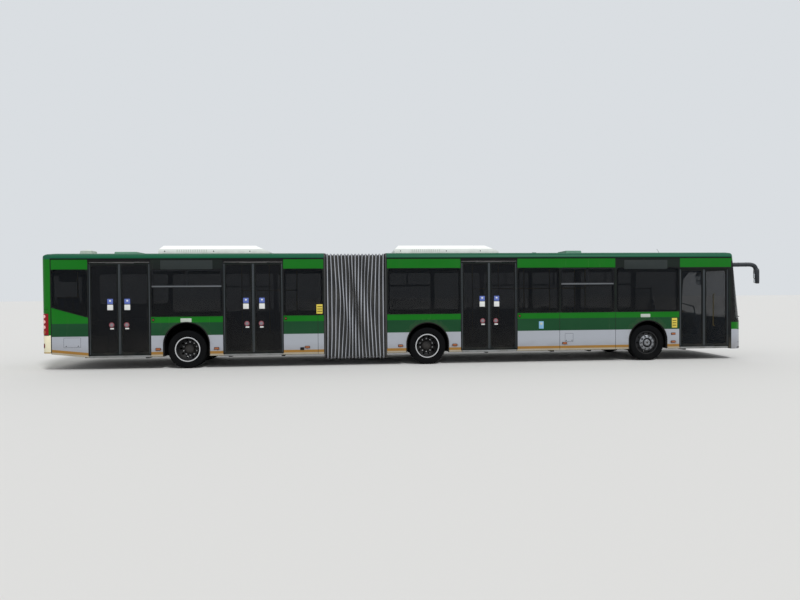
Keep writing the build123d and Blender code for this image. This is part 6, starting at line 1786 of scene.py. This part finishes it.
for angle in np.radians((30, 150, 210, 330)):
    spoke = math.cos(angle) * np.array([0, 1.0, 0]) + math.sin(angle) * forward_in_wheel
    dip = WHEEL_CENTRE + spoke * 0.13 - tilt_axis * 0.008
    driver.pipe([WHEEL_CENTRE + spoke * 0.045, dip, WHEEL_CENTRE + spoke * 0.226], 0.009, 2, 8)
foot = np.array([DECK_FRONT - 0.115, DRIVER_Y, DECK_TOP])
driver.pipe([foot, (foot + WHEEL_CENTRE) / 2, WHEEL_CENTRE - tilt_axis * 0.02], [0.045, 0.045, 0.04], 1, 20)
# block rows under the driver's seat are half length, half width, foot and top above the deck, edge, shade
seat_stack = [(0.16, 0.17, 0, 0.1, 0.02, 1)]
for n in range(6):
    inset, z = 0.02 * (n % 2), 0.1 + n * 0.032
    seat_stack.append((0.14 - inset, 0.15 - inset, z, z + 0.034, 0.012, 2))
for half_x, half_y, low, high, edge, shade in seat_stack + [(0.2, 0.215, 0.285, 0.325, 0.014, 1)]:
    driver.box((DRIVER_X - half_x, DRIVER_Y - half_y, DECK_TOP + low),
               (DRIVER_X + half_x, DRIVER_Y + half_y, DECK_TOP + high), edge, shade)
for y in (DRIVER_Y - 0.222, DRIVER_Y + 0.222):
    arm_rest = [(DRIVER_X + x, y, DECK_TOP + z) for x, z in ((-0.165, 0.34), (-0.165, 0.62), (0.13, 0.64))]
    driver.pipe(bend(arm_rest, 0.03), 0.016, 2, 12)
finishes = [dash_grey, dash_black, wheel_rim, screen_glass, pole_yellow, dial_white]
driver.made("driver_place_made", FRONT, "interior", finishes, ["driver_station"])


def pad(name, on, half, corner, thick, crown):
    """A cushion: its rounded outline at ten levels, drawn in below, a little at the seam and over the crowned top."""
    form = Form()
    rings = []
    section = [(0.3, 0), (0.06, 0.004), (0.012, 0.02), (0, 0.45 * thick), (0.006, 0.52 * thick), (0, 0.6 * thick)]
    domed = [(0.014, thick), (0.05, thick + 0.5 * crown), (0.11, thick + 0.85 * crown), (0.17, thick + crown)]
    for inset, level in section + domed:
        inset = min(inset, min(half) - 0.012)
        line = rounded(half[0] - inset, half[1] - inset, max(corner - inset * 0.5, 0.006), 8)
        rings.append(on(line[:, 0], line[:, 1], level + 0 * line[:, 0]))
    form.skin(rings)
    piece = form.made(name, FRONT, "seat", [seat_face], sharp=60)
    smooth = piece.modifiers.new("soft", "SUBSURF")
    smooth.levels = 1
    smooth.render_levels = 1
    return piece


seat_top = DECK_TOP + SEAT_HIGH
pad("driver_seat_cushion", lambda u, v, w: np.stack((DRIVER_X + u, DRIVER_Y + v, seat_top - 0.1 + w), -1),
    (0.205, 0.225), 0.06, 0.08, 0.018)
# upright rows are name, X behind the seat's middle, height, half size, corner, thickness, crown
for name, behind, z, *shape in (("driver_seat_back", 0.208, 0.235, (0.225, 0.225), 0.07, 0.062, 0.016),
                                ("driver_head_rest", 0.205, 0.545, (0.13, 0.07), 0.04, 0.05, 0.01)):
    pad(name, lambda u, v, w: np.stack((DRIVER_X - behind + w, DRIVER_Y + u, seat_top + z + v), -1), *shape)


# Flaps, plates and stickers on the sides: rubber-lined flaps for fuel, batteries and the filler necks, slotted panels
# over the engine bay on the left, door buttons, and bare plates and stickers with nothing on them.
sticker_yellow = worn("sticker_yellow", (206, 186, 66), 0.45, share=0.2)
sticker_pale = worn("sticker_pale", (176, 186, 176), 0.5, share=0.2)
sticker_sky = worn("sticker_sky", (120, 170, 206), 0.45, share=0.15)
button_red = worn("button_red", (150, 34, 30), 0.35, share=0.15)
# mark rows are body, side, from X, to X, from height, to height, shade
MARKS = [
    (REAR, -1, REAR_AXLE - 0.1395, REAR_AXLE + 0.1255, 1.15, 1.246, 0),
    (FRONT, -1, FRONT_AXLE - 0.2005, FRONT_AXLE + 0.0605, 1.146, 1.232, 0),
    (REAR, -1, MIDDLE_AXLE - 2.8085, MIDDLE_AXLE - 2.6395, 1.325, 1.562, 1),
    (FRONT, -1, FRONT_AXLE + 0.6545, FRONT_AXLE + 0.7995, 0.862, 1.116, 1),
    (FRONT, -1, MIDDLE_AXLE + 2.9045, FRONT_AXLE - 2.8165, 0.88, 1.068, 2),
    (FRONT, 1, MIDDLE_AXLE + 0.9575, MIDDLE_AXLE + 1.2175, 1.15, 1.24, 0),
    (FRONT, 1, FRONT_AXLE - 0.9875, FRONT_AXLE - 0.8475, 0.88, 1.06, 2),
    (REAR, 1, REAR_AXLE + 1.6475, REAR_AXLE + 1.9075, 1.15, 1.24, 0),
]
# flap rows are body, side, middle X, middle height, half length, half height
FLAPS = [
    (FRONT, 1, MIDDLE_AXLE + 2.6575, 0.6, 0.42, 0.19),
    (FRONT, 1, FRONT_AXLE - 2.0375, 0.6, 0.42, 0.19),
    (FRONT, 1, FRONT_AXLE + 1.4625, 0.62, 0.3, 0.17),
    (REAR, 1, REAR_AXLE + 1.3975, 0.6, 0.38, 0.19),
    (FRONT, -1, FRONT_AXLE - 2.1375, 0.64, 0.11, 0.11),
    (REAR, -1, REAR_AXLE - 2.7025, 0.68, 0.2, 0.12),
]
for body in BODY_PARTS:
    marks = Form()
    for side, start, end, foot, top, shade in on_body(MARKS, body):
        on = SIDES[side]
        level = -0.0018 if foot > SILL else 0.0
        middle, half = ((start + end) / 2, (foot + top) / 2), ((end - start) / 2, (top - foot) / 2)
        marks.plate(on, middle, half, 0.008, level - 0.002, level + 0.0012, 0.0006, shade)
        if shade == 1:
            bar = (half[0] * 0.72, half[1] * 0.07)
            for step in (-0.5, 0.0, 0.5):
                place = (middle[0], middle[1] + step * half[1])
                marks.plate(on, place, bar, 0.003, level, level + 0.0018, 0.0004, 4)
        if shade == 2:
            place, disc = (middle[0], middle[1] + half[1] * 0.35), (half[0] * 0.55, half[1] * 0.34)
            marks.plate(on, place, disc, 0.02, level, level + 0.0018, 0.0004, 0)
    for side, x, z, half_x, half_z in on_body(FLAPS, body):
        on = SIDES[side]
        marks.surround(on, (x, z), (half_x, half_z), -0.003, [(0, 0.02, 0.0007), (0.005, 0.016, 0.0007)], 4)
        for share in (-0.7, 0.7):
            marks.turned([(-0.001, 0.012), (0.0015, 0.012), (0.002, 0.01), (0.002, 0.001), (-0.001, 0.001)],
                         on(np.array(x + share * half_x), np.array(z - half_z + 0.035), 0.0), (0, side, 0), 20, 4)
    if body == REAR:
        on = SIDES[1]
        for row in range(9):
            z = 0.56 + row * 0.078
            for x in (REAR_MASK + 0.62, REAR_MASK + 1.46):
                marks.plate(on, (x, z), (0.36, 0.022), 0.008, -0.003, 0.0008, 0.0004, 4)
                marks.plate(on, (x, z + 0.018), (0.36, 0.009), 0.006, -0.002, 0.009, 0.004, 5 if z < 0.8 else 6)
    on = SIDES[-1]
    for name, x, wide, top in on_body(DOORWAYS, body):
        if name != "door_1":
            button = (x + wide / 2 + 0.075, 1.215)
            marks.plate(on, button, (0.028, 0.038), 0.01, -0.002, 0.005, 0.002, 4)
            marks.turned([(0.003, 0.018), (0.008, 0.017), (0.01, 0.012), (0.01, CLOSED), (0.003, CLOSED)],
                         on(*np.array(button), 0.0), (0, -1, 0), 24, 3)
    for name, x, wide, top in on_body(DOORWAYS, body):
        marks.plate(on, (x, 0.3285), (wide / 2 - 0.02, 0.0095), 0.004, -0.004, 0.004, 0.002, 8)
    if body == REAR:
        marks.plate(on, (REAR_AXLE + 2.8225, 0.455), (0.05, 0.034), 0.012, -0.003, 0.012, 0.005, 4)
    else:
        low_marker = (FRONT_AXLE + 0.693, 0.702)
        marks.plate(on, low_marker, (0.062, 0.03), 0.012, -0.004, 0.008, 0.004, 4)
        marks.plate(on, low_marker, (0.052, 0.021), 0.009, 0.002, 0.016, 0.006, 7)
    silver_slat = worn(body + "_slat_silver", (150, 152, 160), 0.4, share=0.3)
    # painted shade: the upper slats take the wall's darker lower-band green
    slat_shaded_green = worn(body + "_slat_green", (14, 64, 34), 0.4, share=0.2)
    finishes = [sticker_pale, sticker_yellow, sticker_sky, button_red, rubber, silver_slat, slat_shaded_green,
                marker_orange, bare_aluminium]
    marks.made(body + "_flaps_and_marks", body, "dark_plastic", finishes)
